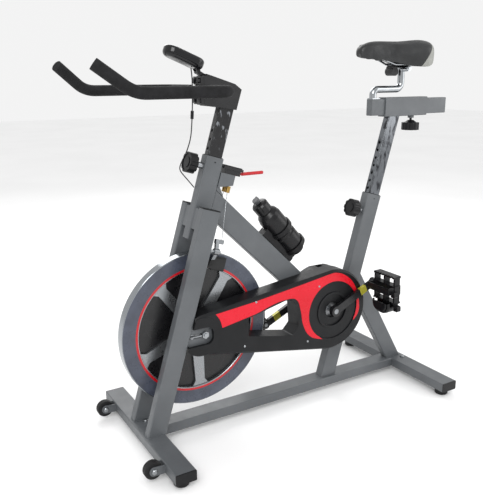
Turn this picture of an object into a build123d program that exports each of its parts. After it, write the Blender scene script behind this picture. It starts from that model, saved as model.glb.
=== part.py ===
from build123d import *
import os
from math import sin, cos, tan, radians, atan2, hypot, sqrt

# Indoor spin bike. Millimetres, +Z up, floor at Z 0, the front of the bike towards -X, the rider's
# left towards -Y. X is counted from the front stabiliser while modelling, and every part is moved
# to the middle of the bike's length when it is written.

# ---------------------------------------------------------------- driving dimensions
WHEELBASE = 963.0            # between the two stabilisers' centre lines
STABILISER_LENGTH = 528.0
STABILISER_WIDTH = 60.0
BASE_HEIGHT = 30.0           # height of the stabilisers' and the bottom tube's section
BOTTOM_TUBE_WIDTH = 55.0
FOOT_HEIGHT = 20.0           # floor to the underside of the stabilisers
FOOT_RADIUS = 21.0
FOOT_INSET = 30.0            # tube end to foot axis
WALL = 2.0                   # wall of every frame tube

FORK_BASE_X = 6.0            # where the fork legs' centre line meets the base
FORK_LEAN = 16.7
LEG_WIDTH = 55.0
LEG_DEPTH = 28.0
LEG_INSIDE = 40.0            # centre plane to a leg's inner face
LEG_LENGTH = 655.0

HEAD_WIDTH = 55.0
TUBE_DEPTH = 32.0            # head and seat tube, left to right
HEAD_BOTTOM = 562.0          # along the fork line from the base
HEAD_TOP = 798.0
SPACER_LENGTH = 62.0

SEAT_BASE_X = 653.0
SEAT_LEAN = 15.8
SEAT_TUBE_WIDTH = 58.0
SEAT_TUBE_LENGTH = 627.0

DIAGONAL_WIDTH = 67.0
DIAGONAL_DEPTH = 28.0
DIAGONAL_SLOPE = 44.0
BRACE_WIDTH = 55.0
BRACE_SLOPE = 59.5
BRACE_BASE_X = 950.0

CRANK_X, CRANK_Z = 618.0, 311.0
WHEEL_X, WHEEL_Z = 166.0, 322.0
FLYWHEEL_RADIUS = 230.5
FLYWHEEL_WIDTH = 30.0
RIM_HEIGHT = 50.0
CRANK_LENGTH = 170.0
CRANK_ANGLE = 25.0           # of the left crank above the level, towards the rear
LARGE_PULLEY_RADIUS = 94.0
SMALL_PULLEY_RADIUS = 31.0
BELT_WIDTH = 10.0
BELT_THICKNESS = 3.0
BELT_Y = -48.0

COVER_OUTSIDE = -75.0        # Y of the cover's outer face
COVER_INSIDE = -18.0
COVER_WALL = 2.5
COVER_REAR_RADIUS = 132.0
COVER_FRONT_RADIUS = 62.0

POST_WIDTH = 45.0
POST_DEPTH = 25.0
BUSHING_GAP = 0.05           # post to bushing, each side
BAR_POST_INSERT = 112.0
BAR_POST_TOP = 946.0         # Z where the bracket head begins
SEAT_POST_INSERT = 200.0

SLIDE_Z = 932.0              # centre line of the saddle slide
SLEEVE_HEIGHT = 60.0
SLEEVE_DEPTH = 35.0
SLEEVE_FRONT, SLEEVE_REAR = 850.0, 1032.0
SLIDER_HEIGHT = 51.0
SLIDER_DEPTH = 26.0
SLIDER_FRONT, SLIDER_REAR = 797.0, 1124.0
SLIDE_GAP = 0.08

BAR_RADIUS = 12.7
GRIP_RADIUS = 14.8
BAR_X, BAR_Z = 197.0, 993.5  # the handlebar's cross tube
BAR_HALF_WIDTH = 183.0
BAR_BEND_X = -57.0
BAR_TIP = (-134.0, 151.0, 1055.0)

KNOB_RADIUS = 28.5
KNOB_LENGTH = 24.0
KNOB_NECK = 8.0
PIN_RADIUS = 4.0
RUN = 0.05                   # radial clearance of running fits
CLEAR = 0.3                  # between curved faces of different moving pieces

BASE_TOP = FOOT_HEIGHT + BASE_HEIGHT


# ---------------------------------------------------------------- helpers
def at(x, y, z):
    return Pos(x, y, z)


def box(x0, x1, y0, y1, z0, z1):
    return at((x0 + x1) / 2, (y0 + y1) / 2, (z0 + z1) / 2) * Box(x1 - x0, y1 - y0, z1 - z0)


def rod(start, end, radius):
    """A round bar from one point to another."""
    a, b = Vector(*start), Vector(*end)
    plane = Plane(origin=a, z_dir=(b - a).normalized())
    return extrude(plane * Circle(radius), amount=(b - a).length)


def disc(x, z, y0, y1, radius):
    """A cylinder along Y."""
    return rod((x, min(y0, y1), z), (x, max(y0, y1), z), radius)


def ring(x, z, y0, y1, outer, inner):
    return disc(x, z, y0, y1, outer) - disc(x, z, y0 - 1, y1 + 1, inner)


def section(width, depth, wall, corner):
    outline = RectangleRounded(width, depth, corner)
    if wall:
        outline -= RectangleRounded(width - 2 * wall, depth - 2 * wall, max(corner - wall, 0.5))
    return outline


def profile(points, y0, y1):
    """A flat outline in X and Z, made thick from y0 to y1."""
    face = make_face(Polyline(*[(x, y0, z) for x, z in points], close=True))
    return extrude(face, amount=y1 - y0, dir=(0, 1, 0))


def joined(*shapes):
    """Separate solids of one node."""
    solids = []
    for shape in shapes:
        solids += shape.solids()
    return Compound(solids)


# Leaning members have a frame of their own: x to the rear and square to the member, y as the
# bike's Y, z up along it.
def leaning(base_x, lean):
    a = radians(lean)
    return Plane(origin=(base_x, 0, BASE_TOP), x_dir=(cos(a), 0, -sin(a)), z_dir=(sin(a), 0, cos(a)))


FORK = leaning(FORK_BASE_X, FORK_LEAN)
SEAT = leaning(SEAT_BASE_X, SEAT_LEAN)


def on(plane, shape):
    return plane.location * shape


def tube_on(plane, width, depth, z0, z1, y=0.0, wall=WALL, corner=4.0, x=0.0):
    shape = extrude(section(width, depth, wall, corner), amount=z1 - z0)
    return on(plane, at(x, y, z0) * shape)


def bar_on(plane, x0, x1, y0, y1, z0, z1):
    return on(plane, box(x0, x1, y0, y1, z0, z1))


def point_on(plane, x, y, z):
    p = plane.from_local_coords(Vector(x, y, z))
    return (p.X, p.Y, p.Z)


BELOW_BASE = box(-500, 2000, -500, 500, -500, BASE_TOP)


# ---------------------------------------------------------------- base
def stabiliser(x):
    shape = extrude(Plane.XZ * section(STABILISER_WIDTH, BASE_HEIGHT, WALL, 3.0), amount=STABILISER_LENGTH)
    shape = at(x, STABILISER_LENGTH / 2, FOOT_HEIGHT + BASE_HEIGHT / 2) * shape
    for side in (-1, 1):
        y = side * (STABILISER_LENGTH / 2 - FOOT_INSET)
        shape -= rod((x, y, FOOT_HEIGHT - 5), (x, y, FOOT_HEIGHT + WALL + 5), FOOT_STUD + RUN)
    return shape


FOOT_STUD = 5.0
BOTTOM_START = STABILISER_WIDTH / 2
BOTTOM_END = WHEELBASE - STABILISER_WIDTH / 2


def bottom_tube():
    shape = extrude(Plane.YZ * section(BOTTOM_TUBE_WIDTH, BASE_HEIGHT, WALL, 3.0),
                    amount=BOTTOM_END - BOTTOM_START)
    return at(BOTTOM_START, 0, FOOT_HEIGHT + BASE_HEIGHT / 2) * shape


def foot(x, side):
    """A levelling foot: rubber puck on a screwed stud, standing on the floor."""
    y = side * (STABILISER_LENGTH / 2 - FOOT_INSET)
    puck = rod((x, y, 0), (x, y, FOOT_HEIGHT - CLEAR), FOOT_RADIUS)
    puck = chamfer(puck.edges().group_by(Axis.Z)[0], 2.0)
    stud = rod((x, y, FOOT_HEIGHT - CLEAR), (x, y, FOOT_HEIGHT + 12), FOOT_STUD)
    return puck + stud


# ---------------------------------------------------------------- fork and head
def fork_leg(side):
    y = side * (LEG_INSIDE + LEG_DEPTH / 2)
    leg = tube_on(FORK, LEG_WIDTH, LEG_DEPTH, -30, LEG_LENGTH, y)
    return leg - BELOW_BASE


HEAD_PIN = HEAD_TOP - 31.0       # spring pins, along each tube
SEAT_PIN = SEAT_TUBE_LENGTH - 58.0
PIN_HOLE = PIN_RADIUS + 0.5
COLLAR_RADIUS = 9.0
COLLAR_LENGTH = 17.0


def cross_hole(plane, z, x0, x1, radius):
    return rod(point_on(plane, x0, 0, z), point_on(plane, x1, 0, z), radius)


def head_tube():
    shape = tube_on(FORK, HEAD_WIDTH, TUBE_DEPTH, HEAD_BOTTOM, HEAD_TOP)
    screw = rod(point_on(FORK, 2, -TUBE_DEPTH, HEAD_TOP - 14), point_on(FORK, 2, 0, HEAD_TOP - 14), 2.2)
    return shape - cross_hole(FORK, HEAD_PIN, -HEAD_WIDTH, 0, PIN_HOLE) - screw


def seat_tube():
    shape = tube_on(SEAT, SEAT_TUBE_WIDTH, TUBE_DEPTH, -30, SEAT_TUBE_LENGTH) - BELOW_BASE
    screw = rod(point_on(SEAT, 2, -TUBE_DEPTH, SEAT_TUBE_LENGTH - 14),
                point_on(SEAT, 2, 0, SEAT_TUBE_LENGTH - 14), 2.2)
    return shape - cross_hole(SEAT, SEAT_PIN, -SEAT_TUBE_WIDTH, 0, PIN_HOLE) - screw


# ---------------------------------------------------------------- diagonal tube, brace, shell
SHELL_RADIUS = 20.0
SHELL_HALF = 33.0


def diagonal_frame():
    """z runs down and to the rear through the crank axis, x is square to it and downwards."""
    a = radians(DIAGONAL_SLOPE)
    return Plane(origin=(CRANK_X - 6, 0, CRANK_Z + 2), x_dir=(-sin(a), 0, -cos(a)),
                 z_dir=(cos(a), 0, -sin(a)))


DIAGONAL = diagonal_frame()


def crank_shell():
    return disc(CRANK_X, CRANK_Z, -SHELL_HALF, SHELL_HALF, SHELL_RADIUS)


def diagonal_tube():
    shape = tube_on(DIAGONAL, DIAGONAL_WIDTH, DIAGONAL_DEPTH, -620, 200)
    head = bar_on(FORK, -HEAD_WIDTH * 8, HEAD_WIDTH / 2, -200, 200, -500, 1500)
    rear = bar_on(SEAT, -SEAT_TUBE_WIDTH / 2, 600, -200, 200, -500, 1500)
    return shape - head - rear - crank_shell()


def rear_brace():
    a = radians(BRACE_SLOPE)
    plane = Plane(origin=(BRACE_BASE_X, 0, BASE_TOP), x_dir=(sin(a), 0, cos(a)), z_dir=(-cos(a), 0, sin(a)))
    shape = tube_on(plane, BRACE_WIDTH, DIAGONAL_DEPTH, -60, 480)
    front = bar_on(SEAT, -900, SEAT_TUBE_WIDTH / 2, -200, 200, -500, 1500)
    return shape - front - BELOW_BASE


BEARING_LENGTH = 9.0
BEARING_BORE = 10.0


def bracket_shell():
    bore = disc(CRANK_X, CRANK_Z, -SHELL_HALF - 1, SHELL_HALF + 1, SHELL_RADIUS - 3)
    return crank_shell() - bore


def bracket_bearings():
    shapes = []
    for side in (-1, 1):
        outer = side * SHELL_HALF
        inner = side * (SHELL_HALF - BEARING_LENGTH)
        y0, y1 = min(outer, inner), max(outer, inner)
        shapes.append(ring(CRANK_X, CRANK_Z, y0, y1, SHELL_RADIUS - 3, BEARING_BORE))
    return joined(*shapes)


# ---------------------------------------------------------------- welded fittings
DROPOUT_Y = 56.0             # inner face of a dropout plate
DROPOUT_THICK = 5.0
DROPOUT_HEIGHT = 58.0
AXLE_RADIUS = 6.0
SLOT_LENGTH = 54.0


def leg_rear_x(z):
    return FORK_BASE_X + (z - BASE_TOP) * tan(radians(FORK_LEAN)) + LEG_WIDTH / 2 / cos(radians(FORK_LEAN))


def behind_legs():
    return bar_on(FORK, -900, LEG_WIDTH / 2, -300, 300, -500, 1500)


def dropout(side):
    y0, y1 = sorted((side * DROPOUT_Y, side * (DROPOUT_Y + DROPOUT_THICK)))
    half = DROPOUT_HEIGHT / 2
    end_x = WHEEL_X
    plate = box(leg_rear_x(WHEEL_Z) - 40, end_x, y0, y1, WHEEL_Z - half, WHEEL_Z + half)
    plate += disc(end_x, WHEEL_Z, y0, y1, half)
    slot = box(WHEEL_X - SLOT_LENGTH + 14, WHEEL_X, y0 - 1, y1 + 1, WHEEL_Z - AXLE_RADIUS - 0.2,
               WHEEL_Z + AXLE_RADIUS + 0.2)
    slot += disc(WHEEL_X, WHEEL_Z, y0 - 1, y1 + 1, AXLE_RADIUS + 0.2)
    return plate - slot - behind_legs()


def leg_spacer(side):
    y0, y1 = sorted((side * TUBE_DEPTH / 2, side * LEG_INSIDE))
    return bar_on(FORK, -LEG_WIDTH / 2 + 3, LEG_WIDTH / 2 - 3, y0, y1, LEG_LENGTH - SPACER_LENGTH,
                  LEG_LENGTH - 4)


BRACKET_LOW = 720.0          # brake bracket, along the fork line
BRACKET_HIGH = 762.0
BRACKET_REACH = 47.0
BRACKET_HALF_WIDTH = 18.0
BARREL_X = HEAD_WIDTH / 2 + 38
BARREL_Y = 10.0
BARREL_RADIUS = 6.5


def lower_edge(reach):
    """The bracket's underside climbs towards its free end."""
    return BRACKET_LOW + 13 * (reach - HEAD_WIDTH / 2) / BRACKET_REACH


def brake_bracket():
    start, end = HEAD_WIDTH / 2, HEAD_WIDTH / 2 + BRACKET_REACH
    half = BRACKET_HALF_WIDTH
    side = [(start, BRACKET_LOW), (end, lower_edge(end)), (end, BRACKET_HIGH), (start, BRACKET_HIGH)]
    hollow = [(start + 3, BRACKET_LOW - 9), (end - 3, BRACKET_LOW - 9), (end - 3, BRACKET_HIGH - 3),
              (start + 3, BRACKET_HIGH - 3)]
    shape = on(FORK, profile(side, -half, half) - profile(hollow, -half + 3, half - 3))
    floor = [(BARREL_X - 12, lower_edge(BARREL_X)), (end - 2, lower_edge(end)),
             (end - 2, lower_edge(end) + 4),
             (BARREL_X - 12, lower_edge(BARREL_X) + 4)]
    shape += on(FORK, profile(floor, -half + 2, half - 2))
    for y in (-BARREL_Y, BARREL_Y):
        shape -= on(FORK, rod((BARREL_X, y, BRACKET_LOW - 10), (BARREL_X, y, BRACKET_HIGH + 9),
                              CABLE_RADIUS + 1))
    return shape


def head_gusset():
    """Rounded web where the diagonal tube meets the head tube."""
    half = DIAGONAL_DEPTH / 2
    corner = (236.8, 722.0)
    d = radians(DIAGONAL_SLOPE)
    f = radians(FORK_LEAN)
    low = (corner[0] + 30 * cos(d), corner[1] - 30 * sin(d))
    high = (corner[0] + 22 * sin(f), corner[1] + 22 * cos(f))
    web = profile([(corner[0] - 3, corner[1] - 8), low, high], -half, half)
    web -= disc(low[0] + 21, high[1] + 6, -half - 1, half + 1, 36)
    web -= bar_on(FORK, -HEAD_WIDTH * 8, HEAD_WIDTH / 2, -200, 200, -500, 1500)
    return web - bar_on(DIAGONAL, -DIAGONAL_WIDTH / 2, 600, -200, 200, -900, 900)


WHEEL_AXLE_X, WHEEL_AXLE_Z = -61.0, 37.0
ROLLER_RADIUS = 25.0
ROLLER_WIDTH = 20.0
ROLLER_Y = 188.0             # centre plane to the middle of a transport wheel
BRACKET_PLATE = 3.0


def wheel_bracket(side):
    """Two cheeks that carry a transport wheel in front of the stabiliser."""
    shapes = []
    for cheek in (-1, 1):
        mid = side * ROLLER_Y + cheek * (ROLLER_WIDTH / 2 + 1.0 + BRACKET_PLATE / 2)
        y0, y1 = mid - BRACKET_PLATE / 2, mid + BRACKET_PLATE / 2
        front = -STABILISER_WIDTH / 2
        plate = profile([(front, FOOT_HEIGHT + 3), (front, BASE_TOP - 3), (WHEEL_AXLE_X, WHEEL_AXLE_Z + 13),
                         (WHEEL_AXLE_X, WHEEL_AXLE_Z - 13)], y0, y1)
        plate += disc(WHEEL_AXLE_X, WHEEL_AXLE_Z, y0, y1, 13)
        plate -= disc(WHEEL_AXLE_X, WHEEL_AXLE_Z, y0 - 1, y1 + 1, ROLLER_BOLT)
        shapes.append(plate)
    return shapes


ROLLER_BOLT = 4.0
STUD_Z = 545.0               # brake arm pivots, along the fork line
STUD_Y = 54.0
STUD_RADIUS = 4.0
STUD_REACH = 36.0


def welded_fittings():
    shapes = []
    for side in (-1, 1):
        shapes += [dropout(side), leg_spacer(side)] + wheel_bracket(side)
    shapes += [brake_bracket(), head_gusset(), bracket_shell()]
    return joined(*shapes)


# ---------------------------------------------------------------- small frame pieces
def hexagon(x, y, z, size, height, direction):
    plane = Plane(origin=(x, y, z), z_dir=direction)
    return extrude(plane * RegularPolygon(size / 2, 6, major_radius=False), amount=height)


def dome_bolt(x, y, z, radius, height, direction):
    plane = Plane(origin=(x, y, z), z_dir=direction)
    head = extrude(plane * Circle(radius), amount=height)
    return chamfer(head.edges().sort_by(lambda e: (e.center() - Vector(x, y, z)).length)[-1], height * 0.45)


AXLE_END = 72.0


def flywheel_axle():
    return disc(WHEEL_X, WHEEL_Z, -AXLE_END, AXLE_END, AXLE_RADIUS)


COVER_SCREWS = [(290, 262), (520, 226), (560, 400), (330, 392)]
BASE_BOLT_Y = (28.0, 36.0)


def frame_fasteners():
    shapes = []
    for side in (-1, 1):
        nut_y = side * (DROPOUT_Y + DROPOUT_THICK)
        nut = hexagon(WHEEL_X, nut_y, WHEEL_Z, 19, 8, (0, side, 0))
        shapes.append(nut - disc(WHEEL_X, WHEEL_Z, -90, 90, AXLE_RADIUS))
        tension_y = side * (DROPOUT_Y + DROPOUT_THICK + 4)
        shapes.append(rod((leg_rear_x(WHEEL_Z) + 1, tension_y, WHEEL_Z), (WHEEL_X - 11, tension_y, WHEEL_Z),
                          3))
        shapes.append(disc(leg_rear_x(WHEEL_Z) + 9, WHEEL_Z, side * (DROPOUT_Y + DROPOUT_THICK),
                           nut_y + side * 1, 7)
                      - rod((leg_rear_x(WHEEL_Z) - 9, tension_y, WHEEL_Z), (WHEEL_X, tension_y, WHEEL_Z), 3))
        stud = rod(point_on(FORK, LEG_WIDTH / 2, side * STUD_Y, STUD_Z),
                   point_on(FORK, LEG_WIDTH / 2 + STUD_REACH, side * STUD_Y, STUD_Z), STUD_RADIUS)
        shapes.append(stud)
        for x in (10.0, WHEELBASE + 11):
            shapes.append(dome_bolt(x, side * BASE_BOLT_Y[x > 100], BASE_TOP, 7.5, 5, (0, 0, 1)))
        edge = ROLLER_WIDTH / 2 + 1.0 + BRACKET_PLATE
        shapes.append(disc(WHEEL_AXLE_X, WHEEL_AXLE_Z, side * ROLLER_Y - edge, side * ROLLER_Y + edge,
                           ROLLER_BOLT))
        shapes.append(dome_bolt(WHEEL_AXLE_X, side * ROLLER_Y - edge, WHEEL_AXLE_Z, 7.5, 5, (0, -1, 0)))
        shapes.append(hexagon(WHEEL_AXLE_X, side * ROLLER_Y + edge, WHEEL_AXLE_Z, 13, 6, (0, 1, 0)))
    for plane, width, z in ((FORK, HEAD_WIDTH, HEAD_PIN), (SEAT, SEAT_TUBE_WIDTH, SEAT_PIN)):
        collar = rod(point_on(plane, -width / 2 - COLLAR_LENGTH, 0, z), point_on(plane, -width / 2, 0, z),
                     COLLAR_RADIUS)
        shapes.append(collar - cross_hole(plane, z, -width, 0, PIN_RADIUS + RUN))
        shapes.append(dome_bolt(WHEEL_X - 35, side * (DROPOUT_Y + DROPOUT_THICK), WHEEL_Z + 21, 4, 3,
                                (0, side, 0)))
        shapes.append(dome_bolt(WHEEL_X - 35, side * (DROPOUT_Y + DROPOUT_THICK), WHEEL_Z - 21, 4, 3,
                                (0, side, 0)))
    for x, z in COVER_SCREWS:
        shapes.append(dome_bolt(x, COVER_OUTSIDE, z, 3.5, 1.5, (0, -1, 0)))
    return joined(*shapes)


def end_cap(x, side):
    """Flush plastic plug in a stabiliser's end."""
    inside = section(STABILISER_WIDTH - 2 * WALL, BASE_HEIGHT - 2 * WALL, 0, 1.0)
    lip = section(STABILISER_WIDTH, BASE_HEIGHT, 0, 3.0)
    plug = extrude(Plane.XZ * inside, amount=12) + at(0, -12, 0) * extrude(Plane.XZ * lip, amount=3)
    plug = at(x, -STABILISER_LENGTH / 2 + 12, FOOT_HEIGHT + BASE_HEIGHT / 2) * plug
    return plug if side < 0 else mirror(plug, Plane.XZ)


def leg_cap(side):
    y = side * (LEG_INSIDE + LEG_DEPTH / 2)
    lip = tube_on(FORK, LEG_WIDTH, LEG_DEPTH, LEG_LENGTH, LEG_LENGTH + 3, y, wall=0)
    plug = tube_on(FORK, LEG_WIDTH - 2 * WALL, LEG_DEPTH - 2 * WALL, LEG_LENGTH - 12, LEG_LENGTH, y, wall=0,
                   corner=2)
    return lip + plug


def tube_caps():
    shapes = []
    for side in (-1, 1):
        shapes += [end_cap(0, side), end_cap(WHEELBASE, side), leg_cap(side)]
    return joined(*shapes)


BUSHING_LENGTH = 70.0


def bushing(plane, tube_width, top, pin_z):
    """Plastic sleeve between a tube and its post, with a thin lip on the tube's end."""
    outer = section(tube_width - 2 * WALL, TUBE_DEPTH - 2 * WALL, 0, 2.0)
    inner = section(POST_WIDTH + 2 * BUSHING_GAP, POST_DEPTH + 2 * BUSHING_GAP, 0, 3.0)
    sleeve = on(plane, at(0, 0, top - BUSHING_LENGTH) * extrude(outer - inner, amount=BUSHING_LENGTH))
    lip = on(plane, at(0, 0, top) * extrude(section(tube_width - 4, TUBE_DEPTH - 4, 0, 3.0) - inner,
                                            amount=2))
    return (sleeve + lip) - cross_hole(plane, pin_z, -tube_width, 0, PIN_HOLE)


def post_bushings():
    return joined(bushing(FORK, HEAD_WIDTH, HEAD_TOP, HEAD_PIN),
                  bushing(SEAT, SEAT_TUBE_WIDTH, SEAT_TUBE_LENGTH, SEAT_PIN))


# ---------------------------------------------------------------- drive
HUB_RADIUS = 32.0
HUB_HALF = 30.0
SPOKES = 5
SPOKE_PHASE = 56.5
WEB_RADIUS = FLYWHEEL_RADIUS - RIM_HEIGHT
HUB_BEARING_RADIUS = 16.0


def flywheel():
    half = FLYWHEEL_WIDTH / 2
    rim = ring(WHEEL_X, WHEEL_Z, -half, half, FLYWHEEL_RADIUS, WEB_RADIUS)
    rim = chamfer(rim.edges().filter_by(GeomType.CIRCLE), 1.2)
    web = ring(WHEEL_X, WHEEL_Z, -3, 3, WEB_RADIUS + 1, HUB_RADIUS - 2)
    hub = disc(WHEEL_X, WHEEL_Z, -HUB_HALF, HUB_HALF, HUB_RADIUS)
    shape = rim + web + hub
    upper = [(HUB_RADIUS - 5, 24), (HUB_RADIUS + 22, 18), (WEB_RADIUS - 16, 15), (WEB_RADIUS + 1, 27)]
    outline = upper + [(x, -z) for x, z in reversed(upper)]
    spoke = profile(outline, -half + 4, half - 4)
    for i in range(SPOKES):
        turned = Rot(0, -SPOKE_PHASE - i * 360 / SPOKES, 0) * spoke
        shape += at(WHEEL_X, 0, WHEEL_Z) * turned
    return shape - disc(WHEEL_X, WHEEL_Z, -HUB_HALF - 1, HUB_HALF + 1, HUB_BEARING_RADIUS)


def hub_bearings():
    shapes = []
    for side in (-1, 1):
        y0, y1 = sorted((side * HUB_HALF, side * (HUB_HALF - 12)))
        shapes.append(ring(WHEEL_X, WHEEL_Z, y0, y1, HUB_BEARING_RADIUS, AXLE_RADIUS + RUN))
    return joined(*shapes)


def pulley(x, z, radius, bore, flange):
    """Flanged belt pulley; the belt runs between the flanges."""
    half = BELT_WIDTH / 2 + CLEAR
    body = disc(x, z, BELT_Y - half, BELT_Y + half, radius)
    for side in (-1, 1):
        y0, y1 = sorted((BELT_Y + side * half, BELT_Y + side * (half + 1.5)))
        body += disc(x, z, y0, y1, radius + flange)
    return body - disc(x, z, -90, 90, bore)


def flywheel_pulley():
    shape = pulley(WHEEL_X, WHEEL_Z, SMALL_PULLEY_RADIUS, AXLE_RADIUS + 2, 3)
    inner = BELT_Y + BELT_WIDTH / 2 + CLEAR + 1.5
    return shape + ring(WHEEL_X, WHEEL_Z, inner, -HUB_HALF, 20, AXLE_RADIUS + 2)


SPINDLE_RADIUS = 8.5
SPINDLE_HALF = 92.0


def drive_pulley():
    shape = pulley(CRANK_X, CRANK_Z, LARGE_PULLEY_RADIUS, SPINDLE_RADIUS, 3)
    half = BELT_WIDTH / 2 + CLEAR
    for i in range(5):
        a = radians(i * 72 + 18)
        x, z = CRANK_X + 56 * cos(a), CRANK_Z + 56 * sin(a)
        shape -= disc(x, z, BELT_Y - half - 5, BELT_Y + half + 5, 20)
    return shape


def drive_belt():
    """Closed band round both pulleys, clear of their faces."""
    dx, dz = CRANK_X - WHEEL_X, CRANK_Z - WHEEL_Z
    span = hypot(dx, dz)
    line = atan2(dz, dx)
    lean = (LARGE_PULLEY_RADIUS - SMALL_PULLEY_RADIUS) / span

    def loop(extra):
        small, large = SMALL_PULLEY_RADIUS + extra, LARGE_PULLEY_RADIUS + extra
        angle = radians(90) + sin_inverse(lean)
        pts = []
        for sign in (1, -1):
            a = line + sign * angle
            pts.append((WHEEL_X + small * cos(a), WHEEL_Z + small * sin(a)))
            pts.append((CRANK_X + large * cos(a), CRANK_Z + large * sin(a)))
        y0, y1 = BELT_Y - BELT_WIDTH / 2, BELT_Y + BELT_WIDTH / 2
        quad = profile([pts[0], pts[1], pts[3], pts[2]], y0, y1)
        return quad + disc(WHEEL_X, WHEEL_Z, y0, y1, small) + disc(CRANK_X, CRANK_Z, y0, y1, large)

    return loop(CLEAR + BELT_THICKNESS) - loop(CLEAR)


def sin_inverse(value):
    return atan2(value, sqrt(1 - value * value))


ARM_INSIDE = 77.5            # centre plane to a crank's inner face
ARM_THICK = 15.0
PEDAL_SPINDLE_RADIUS = 6.0
PEDAL_START = 98.0           # centre plane to the pedal body's inner end
PEDAL_END = 196.0


def pedal_axis(side):
    """The left crank is on the -Y side and points to the rear, the right one the other way."""
    sign = -side
    a = radians(CRANK_ANGLE)
    return CRANK_X + sign * CRANK_LENGTH * cos(a), CRANK_Z + sign * CRANK_LENGTH * sin(a)


def crank_arm(side):
    px, pz = pedal_axis(side)
    y0, y1 = sorted((side * ARM_INSIDE, side * (ARM_INSIDE + ARM_THICK)))
    hub = disc(CRANK_X, CRANK_Z, y0, y1, 17)
    eye = disc(px, pz, y0, y1, 13.5)
    ux, uz = (px - CRANK_X) / CRANK_LENGTH, (pz - CRANK_Z) / CRANK_LENGTH
    quad = [(CRANK_X - uz * 13, CRANK_Z + ux * 13), (px - uz * 11, pz + ux * 11),
            (px + uz * 11, pz - ux * 11), (CRANK_X + uz * 13, CRANK_Z - ux * 13)]
    blade = profile(quad, y0 + 2, y1 - 2)
    shape = hub + eye + blade
    shape -= disc(CRANK_X, CRANK_Z, y0 - 1, y1 + 1, SPINDLE_RADIUS)
    return shape - disc(px, pz, y0 - 1, y1 + 1, PEDAL_SPINDLE_RADIUS)


def crank_spindle():
    """Spindle with the bolts that hold both cranks."""
    shape = disc(CRANK_X, CRANK_Z, -SPINDLE_HALF, SPINDLE_HALF, SPINDLE_RADIUS)
    core = ring(CRANK_X, CRANK_Z, -SHELL_HALF + 0.5, SHELL_HALF - 0.5, BEARING_BORE - RUN, SPINDLE_RADIUS)
    return shape + core


def pedal_spindles():
    shapes = []
    for side in (-1, 1):
        px, pz = pedal_axis(side)
        y0, y1 = sorted((side * ARM_INSIDE, side * (PEDAL_END - 6)))
        f0, f1 = sorted((side * (ARM_INSIDE + ARM_THICK), side * (ARM_INSIDE + ARM_THICK + 4)))
        shapes.append(disc(px, pz, y0, y1, PEDAL_SPINDLE_RADIUS) + disc(px, pz, f0, f1, 10))
    return joined(*shapes)


PEDAL_LENGTH = 90.0
PEDAL_THICK = 28.0
PEDAL_TURN = 92.0            # the pedals hang with their toe clips down
CLIP_REACH = 36.0
CLIP_HALF = 37.0


def pedal(side):
    """Caged pedal with a toe clip and strap, modelled level and then turned until the clip hangs."""
    y0, y1 = PEDAL_START, PEDAL_END
    half, thick = PEDAL_LENGTH / 2, PEDAL_THICK / 2
    mid = (y0 + y1) / 2 + 2
    body = box(-15, 15, y0, y1, -12, 12)
    for x in (-half, half - 6):
        body += box(x, x + 6, y0 + 4, y1 - 2, -thick, thick)
    for y in (y0 + 4, (y0 + y1) / 2 - 3, y1 - 8):
        body += box(-half + 3, half - 3, y, y + 6, -11, 11)
    for i in range(7):
        y = y0 + 8 + i * 12
        for x in (-half, half - 6):
            body -= box(x - 1, x + 7, y, y + 6, thick - 4, thick + 1)
    tip = -half - CLIP_REACH
    tall = 34.0
    outer = box(tip, -half + 2, mid - CLIP_HALF, mid + CLIP_HALF, -thick, tall)
    outer = fillet(outer.edges().filter_by(Axis.Z).group_by(Axis.X)[0], 30)
    outer = fillet(outer.edges().group_by(Axis.Z)[-1].sort_by(Axis.X)[0], 14)
    inner = box(tip + 3, 200, mid - CLIP_HALF + 3, mid + CLIP_HALF - 3, -thick + 3, tall - 3)
    inner = fillet(inner.edges().filter_by(Axis.Z).group_by(Axis.X)[0], 27)
    clip = outer - inner
    clip -= box(tip + 26, 200, mid - 100, mid + 100, 6, tall - 14)
    shape = body + clip
    for end in (y0 + 2, y1 - 4.5):
        shape += profile([(-10, -12), (12, -12), (12, tall + 2), (-10, tall + 2)], end, end + 2.5)
    shape += box(-10, 12, y0 + 2, y1 - 2, tall, tall + 2.5)
    for x, z in ((-8, 18), (-half - 12, 4)):
        loop = box(x - 9, x + 9, y1 - 4, y1 + 13, z - 7, z + 7) - box(x - 5, x + 5, y1 + 1, y1 + 8.5, z - 9,
                                                                      z + 9)
        shape += fillet(loop.edges().filter_by(Axis.Z).group_by(Axis.Y)[-1], 4)
    shape += box(-half - 22, -half + 2, y1 - 4, y1 - 0.5, -3, 11)
    shape -= rod((0, y0 - 1, 0), (0, y1 - 5, 0), PEDAL_SPINDLE_RADIUS + RUN)
    px, pz = pedal_axis(side)
    if side < 0:
        shape = mirror(shape, Plane.XZ)
    return at(px, 0, pz) * Rot(0, -PEDAL_TURN, 0) * shape


# ---------------------------------------------------------------- cover
WINDOW = [(304, 347), (434, 377), (463, 375), (478, 357), (484, 282), (462, 258), (304, 290)]
HUB_OPENING = 26.0
DISH_RADIUS = 95.0
DISH_INNER = 52.0
BOSS_X, BOSS_RADIUS = 150.0, 57.0
PAN_THICK = 2.0


def tangent_hull(x0, z0, r0, x1, z1, r1, y0, y1):
    """Two discs and the straight sides between them."""
    line = atan2(z1 - z0, x1 - x0)
    angle = radians(90) + sin_inverse((r1 - r0) / hypot(x1 - x0, z1 - z0))
    quad = []
    for sign in (1, -1):
        a = line + sign * angle
        quad.append((x0 + r0 * cos(a), z0 + r0 * sin(a)))
        quad.append((x1 + r1 * cos(a), z1 + r1 * sin(a)))
    body = profile([quad[0], quad[1], quad[3], quad[2]], y0, y1)
    return body + disc(x0, z0, y0, y1, r0) + disc(x1, z1, y0, y1, r1)


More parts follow.
